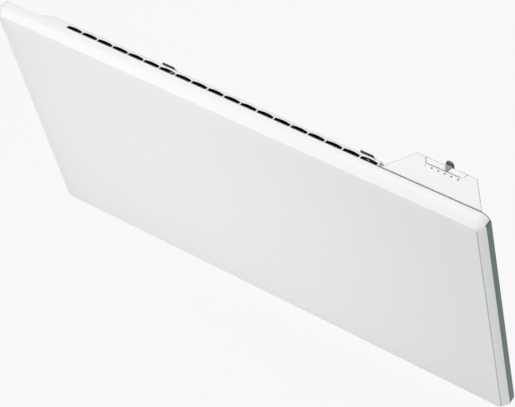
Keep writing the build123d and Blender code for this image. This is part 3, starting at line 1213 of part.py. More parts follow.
# ---------------------------------------------------------------- sprung catches at the tops of the arms
# Each catch is a bent tongue on a pin. It lies just behind the casing's slope, its nose in a slot there, and
# swings towards the wall as the heater is lifted.
# path points: (y, z) from the pin up to the finger tip
hub_width = ARM_WIDTH - 2 * ARM_SHEET - 2 * CATCH_SIDE_CLEARANCE
tongue_path = [
    (-CATCH_PIVOT_REACH, catch_pivot_z),
    (-PAN_BACK_REACH + TONGUE_BACK_GAP, pan_knee_z - TONGUE_BEND_DROP),
    (-ledge_reach + TONGUE_SLOPE_GAP, casing_top_z - TONGUE_SLOPE_DROP),
    (-ledge_reach + TONGUE_LEDGE_GAP, housing_top_z),
]
tongue_bend_y, tongue_bend_z = tongue_path[1]
tongue_slope_y, tongue_slope_z = tongue_path[2]
tongue_lean = (tongue_slope_y - tongue_bend_y) / (tongue_slope_z - tongue_bend_z)


def tongue_point(z, forward):
    """A point this far in front of the middle of the tongue's sloping length, at this height."""
    return (tongue_bend_y + (z - tongue_bend_z) * tongue_lean - forward, z)


nose_outline = [
    tongue_point(catch_slot_low_z + NOSE_ROOT_RISE, 0),
    tongue_point(catch_slot_high_z - NOSE_TIP_DROP, NOSE_DEPTH),
    tongue_point(catch_slot_high_z - NOSE_HEEL_DROP, 0),
]

# A torsion spring round the pin: the coil runs along X and each end leaves it as a straight leg. One leg
# comes to rest on the arm's web, the other behind the tongue.
lean = radians(SPRING_LEAN_DEG)
spring_wall_run = CATCH_PIVOT_REACH - ARM_SHEET - SPRING_WIRE_RADIUS - 2 * RUNNING_CLEARANCE
spring_wall_leg = (spring_wall_run - SPRING_RADIUS * cos(lean)) / sin(lean)


def coil_point(quarters):
    """The point of the coil that lies this many quarter turns from its start."""
    turn = quarters * pi / 2
    along = SPRING_PITCH * (quarters / 4 - SPRING_TURNS / 2)
    return (along, -SPRING_RADIUS * sin(turn), SPRING_RADIUS * cos(turn))


coil_end = 4 * SPRING_TURNS - SPRING_TOE_DEG / 90
with BuildPart() as torsion_spring:
    with BuildLine() as spring_wire:
        half_turns = []
        for start in range(0, 4 * SPRING_TURNS, 2):
            end = min(start + 2, coil_end)
            half_turns.append(ThreePointArc(*[coil_point(at) for at in (start, (start + end) / 2, end)]))
        Line(half_turns[0] @ 0 - (half_turns[0] % 0) * spring_wall_leg, half_turns[0] @ 0)
        Line(half_turns[-1] @ 1, half_turns[-1] @ 1 + (half_turns[-1] % 1) * SPRING_TONGUE_LEG)
    spring_path = spring_wire.wire()
    with BuildSketch(Plane(origin=spring_path @ 0, z_dir=spring_path % 0)):
        Circle(SPRING_WIRE_RADIUS)
    sweep(path=spring_path)
spring_form = torsion_spring.part

for side, arm_x in arms.items():
    with BuildPart() as catch:
        with BuildSketch(Plane.YZ.offset(arm_x - ARM_WIDTH / 2)):
            Polygon(
                *[(y - CATCH_SHEET / 2, z) for y, z in tongue_path],
                *[(y + CATCH_SHEET / 2, z) for y, z in reversed(tongue_path)],
                align=None,
            )
        extrude(amount=ARM_WIDTH)
        # narrow neck between the arm's cheeks
        with BuildSketch(Plane.XZ):
            for edge_sign in (-1, 1):
                with Locations((arm_x + edge_sign * (ARM_WIDTH + hub_width) / 4, arm_top_z / 2)):
                    Rectangle((ARM_WIDTH - hub_width) / 2, arm_top_z + 2 * CATCH_NECK_CLEARANCE)
        extrude(amount=OVERALL_REACH, mode=Mode.SUBTRACT)
        with BuildSketch(Plane.YZ.offset(arm_x - hub_width / 2)):
            with Locations((-CATCH_PIVOT_REACH, catch_pivot_z)):
                Circle(CATCH_HUB_RADIUS)
        extrude(amount=hub_width)
        with BuildSketch(Plane.YZ.offset(arm_x - CATCH_NOSE_WIDTH / 2)):
            Polygon(*nose_outline, align=None)
        extrude(amount=CATCH_NOSE_WIDTH)
        # window for the spring, and the pin's bore
        with BuildSketch(Plane.XZ):
            with Locations((arm_x, catch_pivot_z)):
                Rectangle(hub_width - 2 * CATCH_EAR_WIDTH, 2 * CATCH_HUB_RADIUS + CATCH_WINDOW_SPARE)
        extrude(amount=OVERALL_REACH, mode=Mode.SUBTRACT)
        with BuildSketch(Plane.YZ.offset(arm_x - hub_width / 2)):
            with Locations((-CATCH_PIVOT_REACH, catch_pivot_z)):
                Circle(CATCH_PIN_RADIUS + RUNNING_CLEARANCE)
        extrude(amount=hub_width, mode=Mode.SUBTRACT)
    catch.part.label = f"catch_{side}"
    export_step(catch.part, f"parts/catch_{side}.step")

    with BuildPart() as catch_pin:
        with BuildSketch(Plane.YZ.offset(arm_x - ARM_WIDTH / 2 - CATCH_PIN_END)):
            with Locations((-CATCH_PIVOT_REACH, catch_pivot_z)):
                Circle(CATCH_PIN_RADIUS)
        extrude(amount=ARM_WIDTH + 2 * CATCH_PIN_END)
        with BuildSketch(Plane.YZ.offset(arm_x - ARM_WIDTH / 2 - CATCH_PIN_END)):
            with Locations((-CATCH_PIVOT_REACH, catch_pivot_z)):
                Circle(CATCH_PIN_RADIUS + CATCH_PIN_END)
        extrude(amount=CATCH_PIN_END)
    catch_pin.part.label = f"catch_pin_{side}"
    export_step(catch_pin.part, f"parts/catch_pin_{side}.step")

    with BuildPart() as catch_spring:
        spring_place = Location((arm_x, -CATCH_PIVOT_REACH, catch_pivot_z), (SPRING_LEAN_DEG - 90, 0, 0))
        add(spring_form.moved(spring_place))
    catch_spring.part.label = f"catch_spring_{side}"
    export_step(catch_spring.part, f"parts/catch_spring_{side}.step")
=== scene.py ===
import json
import logging
import math
from dataclasses import dataclass
from enum import Enum, IntEnum
from typing import Sequence

import bmesh
import bpy
from mathutils import Matrix, Vector


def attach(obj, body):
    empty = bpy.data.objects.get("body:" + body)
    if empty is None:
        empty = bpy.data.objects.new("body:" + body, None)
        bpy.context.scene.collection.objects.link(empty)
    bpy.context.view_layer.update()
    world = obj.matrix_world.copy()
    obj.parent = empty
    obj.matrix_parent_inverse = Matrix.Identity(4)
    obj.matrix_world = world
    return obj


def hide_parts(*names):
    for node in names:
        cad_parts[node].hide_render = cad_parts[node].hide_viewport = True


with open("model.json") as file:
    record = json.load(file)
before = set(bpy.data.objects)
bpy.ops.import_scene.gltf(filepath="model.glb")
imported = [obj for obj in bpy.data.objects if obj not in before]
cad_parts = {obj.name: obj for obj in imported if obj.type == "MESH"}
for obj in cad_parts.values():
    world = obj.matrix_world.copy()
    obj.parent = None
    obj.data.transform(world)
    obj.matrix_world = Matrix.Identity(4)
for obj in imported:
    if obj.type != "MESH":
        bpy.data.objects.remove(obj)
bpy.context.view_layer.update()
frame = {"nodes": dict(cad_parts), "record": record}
MM = 0.001
LOG = logging.getLogger("panel_heater")
Colour = tuple[float, float, float]
Point = tuple[float, float]
Span = tuple[float, float]
Place = tuple[float, float, float]
Feed = bpy.types.NodeSocket | float


# ------------------------------------------------------------------ shader node groups
class GroupName(Enum):
    """The shader node groups that several finishes share."""

    GRAIN = "surface_grain"
    EDGE = "edge_wear_and_shade"
    DUST = "settled_dust"
    FACING = "facing_side"
    BRAID = "woven_braid"


class NodeGroups:
    """Builds each shared shader node group once and hands it out by name."""

    bevel_samples: int = 4
    turn_gain: float = 6.0
    strand_lean: float = math.radians(40)
    strand_distortion: float = 0.4

    def __init__(self) -> None:
        """Builds every group."""
        self.made: dict[GroupName, bpy.types.NodeTree] = {
            GroupName.GRAIN: self._grain(),
            GroupName.EDGE: self._edge(),
            GroupName.DUST: self._dust(),
            GroupName.FACING: self._facing(),
            GroupName.BRAID: self._braid(),
        }

    @staticmethod
    def _new(
        name: GroupName, inputs: dict[str, tuple[str, object]], outputs: dict[str, str]
    ) -> tuple[bpy.types.NodeTree, bpy.types.Node, bpy.types.Node]:
        """Makes an empty group with named sockets.

        Args:
            name: the group's name.
            inputs: socket name to its type and default value.
            outputs: socket name to its type.

        Returns:
            The tree, its input node and its output node.
        """
        tree = bpy.data.node_groups.new(name.value, "ShaderNodeTree")
        for label, (kind, value) in inputs.items():
            socket = tree.interface.new_socket(label, in_out="INPUT", socket_type=kind)
            socket.default_value = value
        for label, kind in outputs.items():
            tree.interface.new_socket(label, in_out="OUTPUT", socket_type=kind)
        return tree, tree.nodes.new("NodeGroupInput"), tree.nodes.new("NodeGroupOutput")

    @staticmethod
    def _math(tree: bpy.types.NodeTree, operation: str, a: Feed, b: Feed = 0.5) -> bpy.types.NodeSocket:
        """Adds a Math node.

        Args:
            tree: the tree it goes in.
            operation: the Math node's operation.
            a: the first socket or number.
            b: the second socket or number.

        Returns:
            The node's value socket.
        """
        node = tree.nodes.new("ShaderNodeMath")
        node.operation = operation
        for slot, given in enumerate((a, b)):
            if isinstance(given, bpy.types.NodeSocket):
                tree.links.new(given, node.inputs[slot])
            else:
                node.inputs[slot].default_value = given
        return node.outputs[0]

    def _noise(
        self, tree: bpy.types.NodeTree, vector: bpy.types.NodeSocket, scale: Feed, detail: float
    ) -> bpy.types.NodeSocket:
        """Adds a noise texture.

        Args:
            tree: the tree it goes in.
            vector: the coordinate socket.
            scale: the scale socket or number, per metre.
            detail: how many finer layers it adds.

        Returns:
            The noise's value socket.
        """
        node = tree.nodes.new("ShaderNodeTexNoise")
        tree.links.new(vector, node.inputs["Vector"])
        if isinstance(scale, bpy.types.NodeSocket):
            tree.links.new(scale, node.inputs["Scale"])
        else:
            node.inputs["Scale"].default_value = scale
        node.inputs["Detail"].default_value = detail
        return node.outputs["Fac"]

    def _grain(self) -> bpy.types.NodeTree:
        """Makes the fine and broad unevenness of a coat, a moulding or a rolled sheet.

        Returns:
            The group, whose outputs are Height for a bump and Mottle for slow colour change.
        """
        tree, given, out = self._new(
            GroupName.GRAIN,
            {
                "Scale": ("NodeSocketFloat", 900.0),
                "Stretch": ("NodeSocketVector", (1.0, 1.0, 1.0)),
                "Mottle Scale": ("NodeSocketFloat", 12.0),
            },
            {"Height": "NodeSocketFloat", "Mottle": "NodeSocketFloat"},
        )
        place = tree.nodes.new("ShaderNodeTexCoord")
        stretch = tree.nodes.new("ShaderNodeVectorMath")
        stretch.operation = "MULTIPLY"
        tree.links.new(place.outputs["Object"], stretch.inputs[0])
        tree.links.new(given.outputs["Stretch"], stretch.inputs[1])
        fine = self._noise(tree, stretch.outputs[0], given.outputs["Scale"], detail=3.0)
        broad = self._noise(tree, place.outputs["Object"], given.outputs["Mottle Scale"], detail=2.0)
        tree.links.new(fine, out.inputs["Height"])
        tree.links.new(broad, out.inputs["Mottle"])
        return tree

    def _edge(self) -> bpy.types.NodeTree:
        """Makes the edge mask, from how far the surface turns within a radius; some finishes put real wear
        there and others painted edge shade.

        Returns:
            The group, whose output is Mask.
        """
        tree, given, out = self._new(
            GroupName.EDGE,
            {
                "Amount": ("NodeSocketFloat", 1.0),
                "Radius": ("NodeSocketFloat", 0.6 * MM),
                "Break Up": ("NodeSocketFloat", 400.0),
            },
            {"Mask": "NodeSocketFloat"},
        )
        rounded = tree.nodes.new("ShaderNodeBevel")
        rounded.samples = self.bevel_samples
        tree.links.new(given.outputs["Radius"], rounded.inputs["Radius"])
        plain = tree.nodes.new("ShaderNodeNewGeometry")
        place = tree.nodes.new("ShaderNodeTexCoord")
        agree = tree.nodes.new("ShaderNodeVectorMath")
        agree.operation = "DOT_PRODUCT"
        tree.links.new(rounded.outputs[0], agree.inputs[0])
        tree.links.new(plain.outputs["Normal"], agree.inputs[1])
        turn = self._math(tree, "SUBTRACT", 1.0, agree.outputs["Value"])
        broken = self._noise(tree, place.outputs["Object"], given.outputs["Break Up"], detail=4.0)
        patch = self._math(tree, "MULTIPLY", broken, broken)
        sharp = self._math(tree, "MULTIPLY", turn, self.turn_gain)
        mask = self._math(tree, "MULTIPLY", sharp, patch)
        scaled = self._math(tree, "MULTIPLY", mask, given.outputs["Amount"])
        clamp = tree.nodes.new("ShaderNodeClamp")
        tree.links.new(scaled, clamp.inputs["Value"])
        tree.links.new(clamp.outputs[0], out.inputs["Mask"])
        return tree

    def _dust(self) -> bpy.types.NodeTree:
        """Makes the mask of dust that settles on what faces up.

        Returns:
            The group, whose output is Mask.
        """
        tree, given, out = self._new(
            GroupName.DUST,
            {"Amount": ("NodeSocketFloat", 0.3), "Scale": ("NodeSocketFloat", 60.0)},
            {"Mask": "NodeSocketFloat"},
        )
        surface = tree.nodes.new("ShaderNodeNewGeometry")
        place = tree.nodes.new("ShaderNodeTexCoord")
        split = tree.nodes.new("ShaderNodeSeparateXYZ")
        tree.links.new(surface.outputs["Normal"], split.inputs[0])
        up = self._math(tree, "MAXIMUM", split.outputs["Z"], 0.0)
        patches = self._noise(tree, place.outputs["Object"], given.outputs["Scale"], detail=5.0)
        lying = self._math(tree, "MULTIPLY", up, patches)
        mask = self._math(tree, "MULTIPLY", lying, given.outputs["Amount"])
        tree.links.new(mask, out.inputs["Mask"])
        return tree

    def _facing(self) -> bpy.types.NodeTree:
        """Makes the mask of the faces that look one way, such as the inside of a formed sheet.

        Returns:
            The group, whose output is Mask.
        """
        tree, given, out = self._new(
            GroupName.FACING,
            {"Way": ("NodeSocketVector", (0.0, -1.0, 0.0)), "From": ("NodeSocketFloat", 0.15)},
            {"Mask": "NodeSocketFloat"},
        )
        surface = tree.nodes.new("ShaderNodeNewGeometry")
        along = tree.nodes.new("ShaderNodeVectorMath")
        along.operation = "DOT_PRODUCT"
        tree.links.new(surface.outputs["Normal"], along.inputs[0])
        tree.links.new(given.outputs["Way"], along.inputs[1])
        mask = self._math(tree, "GREATER_THAN", along.outputs["Value"], given.outputs["From"])
        tree.links.new(mask, out.inputs["Mask"])
        return tree

    def _braid(self) -> bpy.types.NodeTree:
        """Makes the crossing strands of a woven sleeve.

        Returns:
            The group, whose outputs are Height for a bump and Gaps between the strands.
        """
        tree, given, out = self._new(
            GroupName.BRAID,
            {"Scale": ("NodeSocketFloat", 700.0)},
            {"Height": "NodeSocketFloat", "Gaps": "NodeSocketFloat"},
        )
        place = tree.nodes.new("ShaderNodeTexCoord")
        heights = []
        for lean in (self.strand_lean, -self.strand_lean):
            turned = tree.nodes.new("ShaderNodeMapping")
            turned.inputs["Rotation"].default_value = (lean, lean, lean)
            tree.links.new(place.outputs["Object"], turned.inputs["Vector"])
            strands = tree.nodes.new("ShaderNodeTexWave")
            strands.inputs["Distortion"].default_value = self.strand_distortion
            tree.links.new(given.outputs["Scale"], strands.inputs["Scale"])
            tree.links.new(turned.outputs[0], strands.inputs["Vector"])
            heights.append(strands.outputs["Fac"])
        top = self._math(tree, "MAXIMUM", heights[0], heights[1])
        tree.links.new(top, out.inputs["Height"])
        tree.links.new(self._math(tree, "SUBTRACT", 1.0, top), out.inputs["Gaps"])
        return tree


GROUPS = NodeGroups()


# ------------------------------------------------------------------ finishes
DUST_COLOUR: Colour = (0.62, 0.6, 0.57)
BRAID_GAP_SHADE = 0.35
LEAST_ROUGHNESS = 0.05
# The Mix node's colour sockets go by number, because its number and vector sockets share their names.
MIX_COLOUR_A, MIX_COLOUR_B, MIX_COLOUR_OUT = 6, 7, 2


@dataclass(frozen=True)
class Finish:
    """One surface finish, as the numbers that its material is built from.

    Args:
        name: the material's name.
        colour: linear base colour.
        wear_and_shade_colour: linear colour at the edges: real wear on some finishes, painted edge shade on
            others.
        roughness: the plain surface's roughness.
        rough_swing: how far the roughness strays with the mottle.
        metallic: 1 for bare metal.
        grain_scale: fine grains per metre.
        grain_depth: height of the fine grain in metres.
        stretch: how the grain is drawn out along X, Y and Z.
        mottle: how far the colour strays, as a share.
        wear: how strongly the edges take that colour.
        dust: how much dust lies on what faces up.
        coat: clear coat weight.
        edge: how far from an edge that colour reaches, in metres.
        inside_shade: linear colour of painted shade on the faces that look into the casing, or None where
            they are like the rest.
        braid: the scale of a woven sleeve's strands, or 0 for a plain surface.
    """

    name: str
    colour: Colour
    wear_and_shade_colour: Colour
    roughness: float
    rough_swing: float = 0.08
    metallic: float = 0.0
    grain_scale: float = 900.0
    grain_depth: float = 0.02 * MM
    stretch: tuple[float, float, float] = (1.0, 1.0, 1.0)
    mottle: float = 0.03
    wear: float = 0.3
    dust: float = 0.1
    coat: float = 0.0
    edge: float = 0.6 * MM
    inside_shade: Colour | None = None
    braid: float = 0.0

    def _group(
        self, tree: bpy.types.NodeTree, name: GroupName, values: dict[str, object]
    ) -> bpy.types.Node:
        """Places a shared group with this finish's values.

        Args:
            tree: the material's tree.
            name: which group.
            values: input name to value.

        Returns:
            The group node.
        """
        node = tree.nodes.new("ShaderNodeGroup")
        node.node_tree = GROUPS.made[name]
        for label, value in values.items():
            node.inputs[label].default_value = value
        return node

    @staticmethod
    def _mix(
        tree: bpy.types.NodeTree, mask: bpy.types.NodeSocket, a: bpy.types.NodeSocket | Colour, b: Colour
    ) -> bpy.types.NodeSocket:
        """Mixes two colours by a mask.

        Args:
            tree: the material's tree.
            mask: the mask's socket.
            a: the colour or socket where the mask is 0.
            b: the colour where it is 1.

        Returns:
            The mixed colour's socket.
        """
        node = tree.nodes.new("ShaderNodeMix")
        node.data_type = "RGBA"
        tree.links.new(mask, node.inputs["Factor"])
        if isinstance(a, bpy.types.NodeSocket):
            tree.links.new(a, node.inputs[MIX_COLOUR_A])
        else:
            node.inputs[MIX_COLOUR_A].default_value = (*a, 1.0)
        node.inputs[MIX_COLOUR_B].default_value = (*b, 1.0)
        return node.outputs[MIX_COLOUR_OUT]

    def build(self) -> bpy.types.Material:
        """Builds the material.

        Returns:
            The new material.
        """
        material = bpy.data.materials.new(self.name)
        material.use_nodes = True
        tree = material.node_tree
        shader = tree.nodes["Principled BSDF"]
        grain = self._group(tree, GroupName.GRAIN, {"Scale": self.grain_scale, "Stretch": self.stretch})
        edge = self._group(tree, GroupName.EDGE, {"Amount": self.wear, "Radius": self.edge})
        dust = self._group(tree, GroupName.DUST, {"Amount": self.dust})
        dark = tuple(c * (1 - self.mottle) for c in self.colour)
        light = tuple(min(1.0, c * (1 + self.mottle)) for c in self.colour)
        body = self._mix(tree, grain.outputs["Mottle"], dark, light)
        # Painted shade on the faces that look into the casing.
        if self.inside_shade:
            facing = self._group(tree, GroupName.FACING, {})
            body = self._mix(tree, facing.outputs["Mask"], body, self.inside_shade)
        height = grain.outputs["Height"]
        if self.braid:
            sleeve = self._group(tree, GroupName.BRAID, {"Scale": self.braid})
            gaps = tuple(BRAID_GAP_SHADE * c for c in self.colour)
            body = self._mix(tree, sleeve.outputs["Gaps"], body, gaps)
            height = sleeve.outputs["Height"]
        # Edge colour: real wear on most finishes, painted edge shade on the panel, casing and housing.
        wear_and_shade_colour = self._mix(tree, edge.outputs["Mask"], body, self.wear_and_shade_colour)
        dusty = self._mix(tree, dust.outputs["Mask"], wear_and_shade_colour, DUST_COLOUR)
        tree.links.new(dusty, shader.inputs["Base Color"])
        rough = tree.nodes.new("ShaderNodeMapRange")
        rough.inputs["To Min"].default_value = max(LEAST_ROUGHNESS, self.roughness - self.rough_swing)
        rough.inputs["To Max"].default_value = min(1.0, self.roughness + self.rough_swing)
        tree.links.new(grain.outputs["Mottle"], rough.inputs["Value"])
        tree.links.new(rough.outputs[0], shader.inputs["Roughness"])
        bump = tree.nodes.new("ShaderNodeBump")
        bump.inputs["Distance"].default_value = self.grain_depth
        tree.links.new(height, bump.inputs["Height"])
        tree.links.new(bump.outputs["Normal"], shader.inputs["Normal"])
        shader.inputs["Metallic"].default_value = self.metallic
        shader.inputs["Coat Weight"].default_value = self.coat
        return material


# By the record's material slot, or by a name of its own where the record has no slot for it.
FINISHES: dict[str, Finish] = {
    # Painted shade: the panel's edges and folds darken towards grey.
    "panel_paint": Finish(
        "panel_powder_coat", (0.83, 0.845, 0.84), (0.42, 0.44, 0.43), 0.42, 0.03,
        mottle=0.006, wear=1.2, edge=0.8 * MM,
    ),
    # Painted shade: the panel's end flanges are coloured dark grey-green to stand for the shade on its
    # sides.
    "side_shade": Finish(
        "painted_side_shade", (0.075, 0.13, 0.115), (0.3, 0.34, 0.33), 0.4, 0.03, mottle=0.08, wear=0.6,
    ),
    # Painted shade: the duct parts are coloured black, as the hollow seen through the slots.
    "duct_shade": Finish(
        "painted_duct_shade", (0.015, 0.016, 0.016), (0.08, 0.08, 0.08), 0.8, mottle=0.2, dust=0.03,
    ),
    # Painted shade for the panel's rim and inside, which show dark through the slots.
    "interior_shade": Finish("painted_interior_shade", (0.03, 0.032, 0.032), (0.1, 0.1, 0.1), 0.75, mottle=0.1, dust=0.05),
    # Painted shade in a grey strip along each vertical fold of the face.
    "fold_shade_line": Finish("fold_shade_line", (0.4, 0.43, 0.42), (0.3, 0.32, 0.31), 0.5, mottle=0.08),
    # Painted shade along the panel's rear edge, where the slots and the gap beside the housing lie in
    # shadow.
    "rear_edge_shade": Finish("painted_rear_edge_shade", (0.05, 0.055, 0.055), (0.2, 0.2, 0.2), 0.7, mottle=0.3, dust=0.02),
    # Painted shade: the catches and springs are near-black, as the shadow in the slots over them.
    "catch_shade": Finish(
        "painted_catch_shade", (0.03, 0.032, 0.033), (0.1, 0.1, 0.1), 0.75, wear=0.15, dust=0.0,
    ),
    # Painted highlight: the pointer is paler than the tab to stand for the light on its top.
    "pointer_painted_highlight": Finish("pointer_painted_highlight", (0.2, 0.21, 0.21), (0.3, 0.3, 0.3), 0.5, mottle=0.03),
    "scale_ink": Finish("scale_ink", (0.16, 0.17, 0.17), (0.3, 0.3, 0.3), 0.6, mottle=0.1, wear=0.0),
    # Painted shade: the casing darkens at its edges, round the slots and along its rear edge, and its
    # inward faces are near-black like the shadowed hollow.
    "casing_paint": Finish(
        "casing_powder_coat", (0.8, 0.81, 0.81), (0.12, 0.13, 0.13), 0.45, 0.04,
        mottle=0.01, wear=4.0, edge=1.2 * MM, inside_shade=(0.02, 0.021, 0.021),
    ),
    "zinc_steel": Finish(
        "zinc_plate", (0.55, 0.56, 0.57), (0.7, 0.7, 0.7), 0.38, metallic=1.0, grain_scale=1400,
    ),
    "bracket_steel": Finish("bracket_coat", (0.7, 0.71, 0.71), (0.45, 0.45, 0.45), 0.5, wear=0.5),
    "fin_aluminium": Finish(
        "fin_aluminium", (0.78, 0.79, 0.8), (0.85, 0.85, 0.85), 0.34,
        metallic=1.0, stretch=(1.0, 1.0, 0.08),
    ),
    "element_steel": Finish(
        "heat_tinted_tube", (0.2, 0.17, 0.14), (0.4, 0.37, 0.33), 0.45, metallic=1.0, mottle=0.3,
    ),
    # Painted shade: the housing's edges darken to grey, drawn as outlines where the surface turns.
    "housing_plastic": Finish(
        "housing_abs", (0.885, 0.89, 0.885), (0.09, 0.1, 0.1), 0.5, mottle=0.005, wear=14.0, edge=1.6 * MM,
    ),
    "knob_plastic": Finish("knob_plastic", (0.045, 0.05, 0.055), (0.12, 0.12, 0.12), 0.5, wear=0.4),
    "black_plastic": Finish("black_polyamide", (0.02, 0.02, 0.022), (0.08, 0.08, 0.08), 0.55),
    "steatite": Finish("steatite", (0.78, 0.73, 0.63), (0.85, 0.82, 0.75), 0.6, mottle=0.06),
    "board_laminate": Finish(
        "board_laminate", (0.03, 0.16, 0.06), (0.3, 0.3, 0.15), 0.3, mottle=0.15, coat=0.4,
    ),
    "grommet_rubber": Finish("moulded_rubber", (0.015, 0.015, 0.015), (0.05, 0.05, 0.05), 0.75),
    "lead_brown": Finish(
        "brown_sleeve", (0.16, 0.06, 0.03), (0.3, 0.14, 0.08), 0.7, braid=450.0, grain_depth=0.15 * MM,
    ),
    "lead_blue": Finish(
        "blue_sleeve", (0.03, 0.09, 0.32), (0.1, 0.2, 0.5), 0.7, braid=450.0, grain_depth=0.15 * MM,
    ),
    "lead_green": Finish(
        "green_sleeve", (0.2, 0.33, 0.03), (0.5, 0.5, 0.1), 0.7, braid=450.0, grain_depth=0.15 * MM,
    ),
    "brass_parts": Finish("turned_brass", (0.72, 0.5, 0.22), (0.85, 0.68, 0.4), 0.3, metallic=1.0),
}


class Dresser:
    """Puts a finish on each CAD node. Some nodes have one of their own, darker than that of their slot:
    painted shade for the catches and duct parts that lie in the slots' shadow.
    """

    # The catches and the duct parts are coloured near-black as painted shade.
    sprung: tuple[str, ...] = ("catch_left", "catch_right", "catch_spring_left", "catch_spring_right")
    duct: tuple[str, ...] = ("heat_shield", "duct_end_plate_left", "duct_end_plate_right")
    darker: dict[str, str] = {**dict.fromkeys(sprung, "catch_shade"), **dict.fromkeys(duct, "duct_shade")}

    def __init__(self) -> None:
        """Builds every finish's material."""
        self.materials = {slot: finish.build() for slot, finish in FINISHES.items()}

    def dress(self, nodes: dict[str, bpy.types.Object], record: dict) -> None:
        """Gives each node the material of its slot.

        Args:
            nodes: CAD node name to object.
            record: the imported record, whose subparts name the slots.
        """
        for row in record["subparts"]:
            piece = nodes[row["node"]]
            piece.data.materials.clear()
            finish = self.darker.get(row["node"], row["material_slot"])
            piece.data.materials.append(self.materials[finish])
            LOG.info("%s wears %s", row["node"], finish)


# ------------------------------------------------------------------ mesh helpers
class Shape:
    """Small mesh makers that the heater's own pieces share.

    hold is how far a holding point stands off its arc, in millimetres.
    """

    hold: float = 0.35

    @staticmethod
    def rounded(points: Sequence[Point], radii: Sequence[float], steps: int = 5) -> list[Point]:
        """Rounds the inner corners of an open line and sets a holding point on each side of each arc.

        Args:
            points: the line's corners, in millimetres.
            radii: each corner's radius; 0 leaves it sharp.
            steps: how many edges each arc has.

        Returns:
            The rounded line.
        """
        line: list[Point] = []
        for at, (corner, radius) in enumerate(zip(points, radii)):
            if radius == 0:
                line.append(corner)
                continue
            here, back, ahead = (Vector(points[at + step]) for step in (0, -1, 1))
            to_back, to_ahead = (back - here).normalized(), (ahead - here).normalized()
            half = to_back.angle(to_ahead) / 2
            run = radius / math.tan(half)
            middle = here + (to_back + to_ahead).normalized() * radius / math.sin(half)
            start, end = here + to_back * run, here + to_ahead * run
            line.append(tuple(start + to_back * Shape.hold))
            for step in range(steps + 1):
                spoke = (start - middle).slerp(end - middle, step / steps)
                line.append(tuple(middle + spoke))
            line.append(tuple(end + to_ahead * Shape.hold))
        return line

    @staticmethod
    def piece(
        name: str, mesh: bpy.types.Mesh, body: str, slot: str, smooth_deg: float = 35.0
    ) -> bpy.types.Object:
        """Makes an object of a mesh and hangs it from the body that it rides on.

        Args:
            name: the piece's name.
            mesh: its mesh, in metres.
            body: the body that it rides on.
            slot: the record's material slot; not used.
            smooth_deg: edges that turn more than this stay sharp.

        Returns:
            The new object.
        """
        mesh.shade_smooth()
        mesh.set_sharp_from_angle(angle=math.radians(smooth_deg))
        made = bpy.data.objects.new(name, mesh)
        bpy.context.scene.collection.objects.link(made)
        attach(made, body)
        LOG.info("%s built with %d faces", name, len(mesh.polygons))
        return made

    @staticmethod
    def turned(
        build: bmesh.types.BMesh, profile: Sequence[Point], place: Vector, along: Vector, sides: int = 40
    ) -> list[bmesh.types.BMFace]:
        """Turns a profile about an axis.

        Args:
            build: the mesh that it is added to.
            profile: (radius, distance along the axis) in millimetres; a radius of 0 closes an end.
            place: the axis's start, in millimetres.
            along: the axis's direction.
            sides: how many sides the turned form has.

        Returns:
            The new faces.
        """
        turn = along.to_track_quat("Z", "Y").to_matrix()
        rings: list[list[bmesh.types.BMVert]] = []
        for radius, height in profile:
            count = 1 if radius == 0 else sides
            ring = []
            for step in range(count):
                angle = 2 * math.pi * step / sides
                local = Vector((radius * math.cos(angle), radius * math.sin(angle), height))
                ring.append(build.verts.new((place + turn @ local) * MM))
            rings.append(ring)
        faces = []
        for low, high in zip(rings, rings[1:]):
            for step in range(sides):
                after = (step + 1) % sides
                if len(low) == 1:
                    corners = (low[0], high[after], high[step])
                elif len(high) == 1:
                    corners = (low[step], low[after], high[0])
                else:
                    corners = (low[step], low[after], high[after], high[step])
                faces.append(build.faces.new(corners))
        return faces


# ------------------------------------------------------------------ the heater's own pieces
class PanelCoat(IntEnum):
    """The front panel's material slots, in the order in which its materials are given."""

    POWDER = 0
    END_FLANGE_SHADE = 1
    REAR_EDGE_SHADE = 2
    INTERIOR_SHADE = 3
    FOLD_SHADE = 4


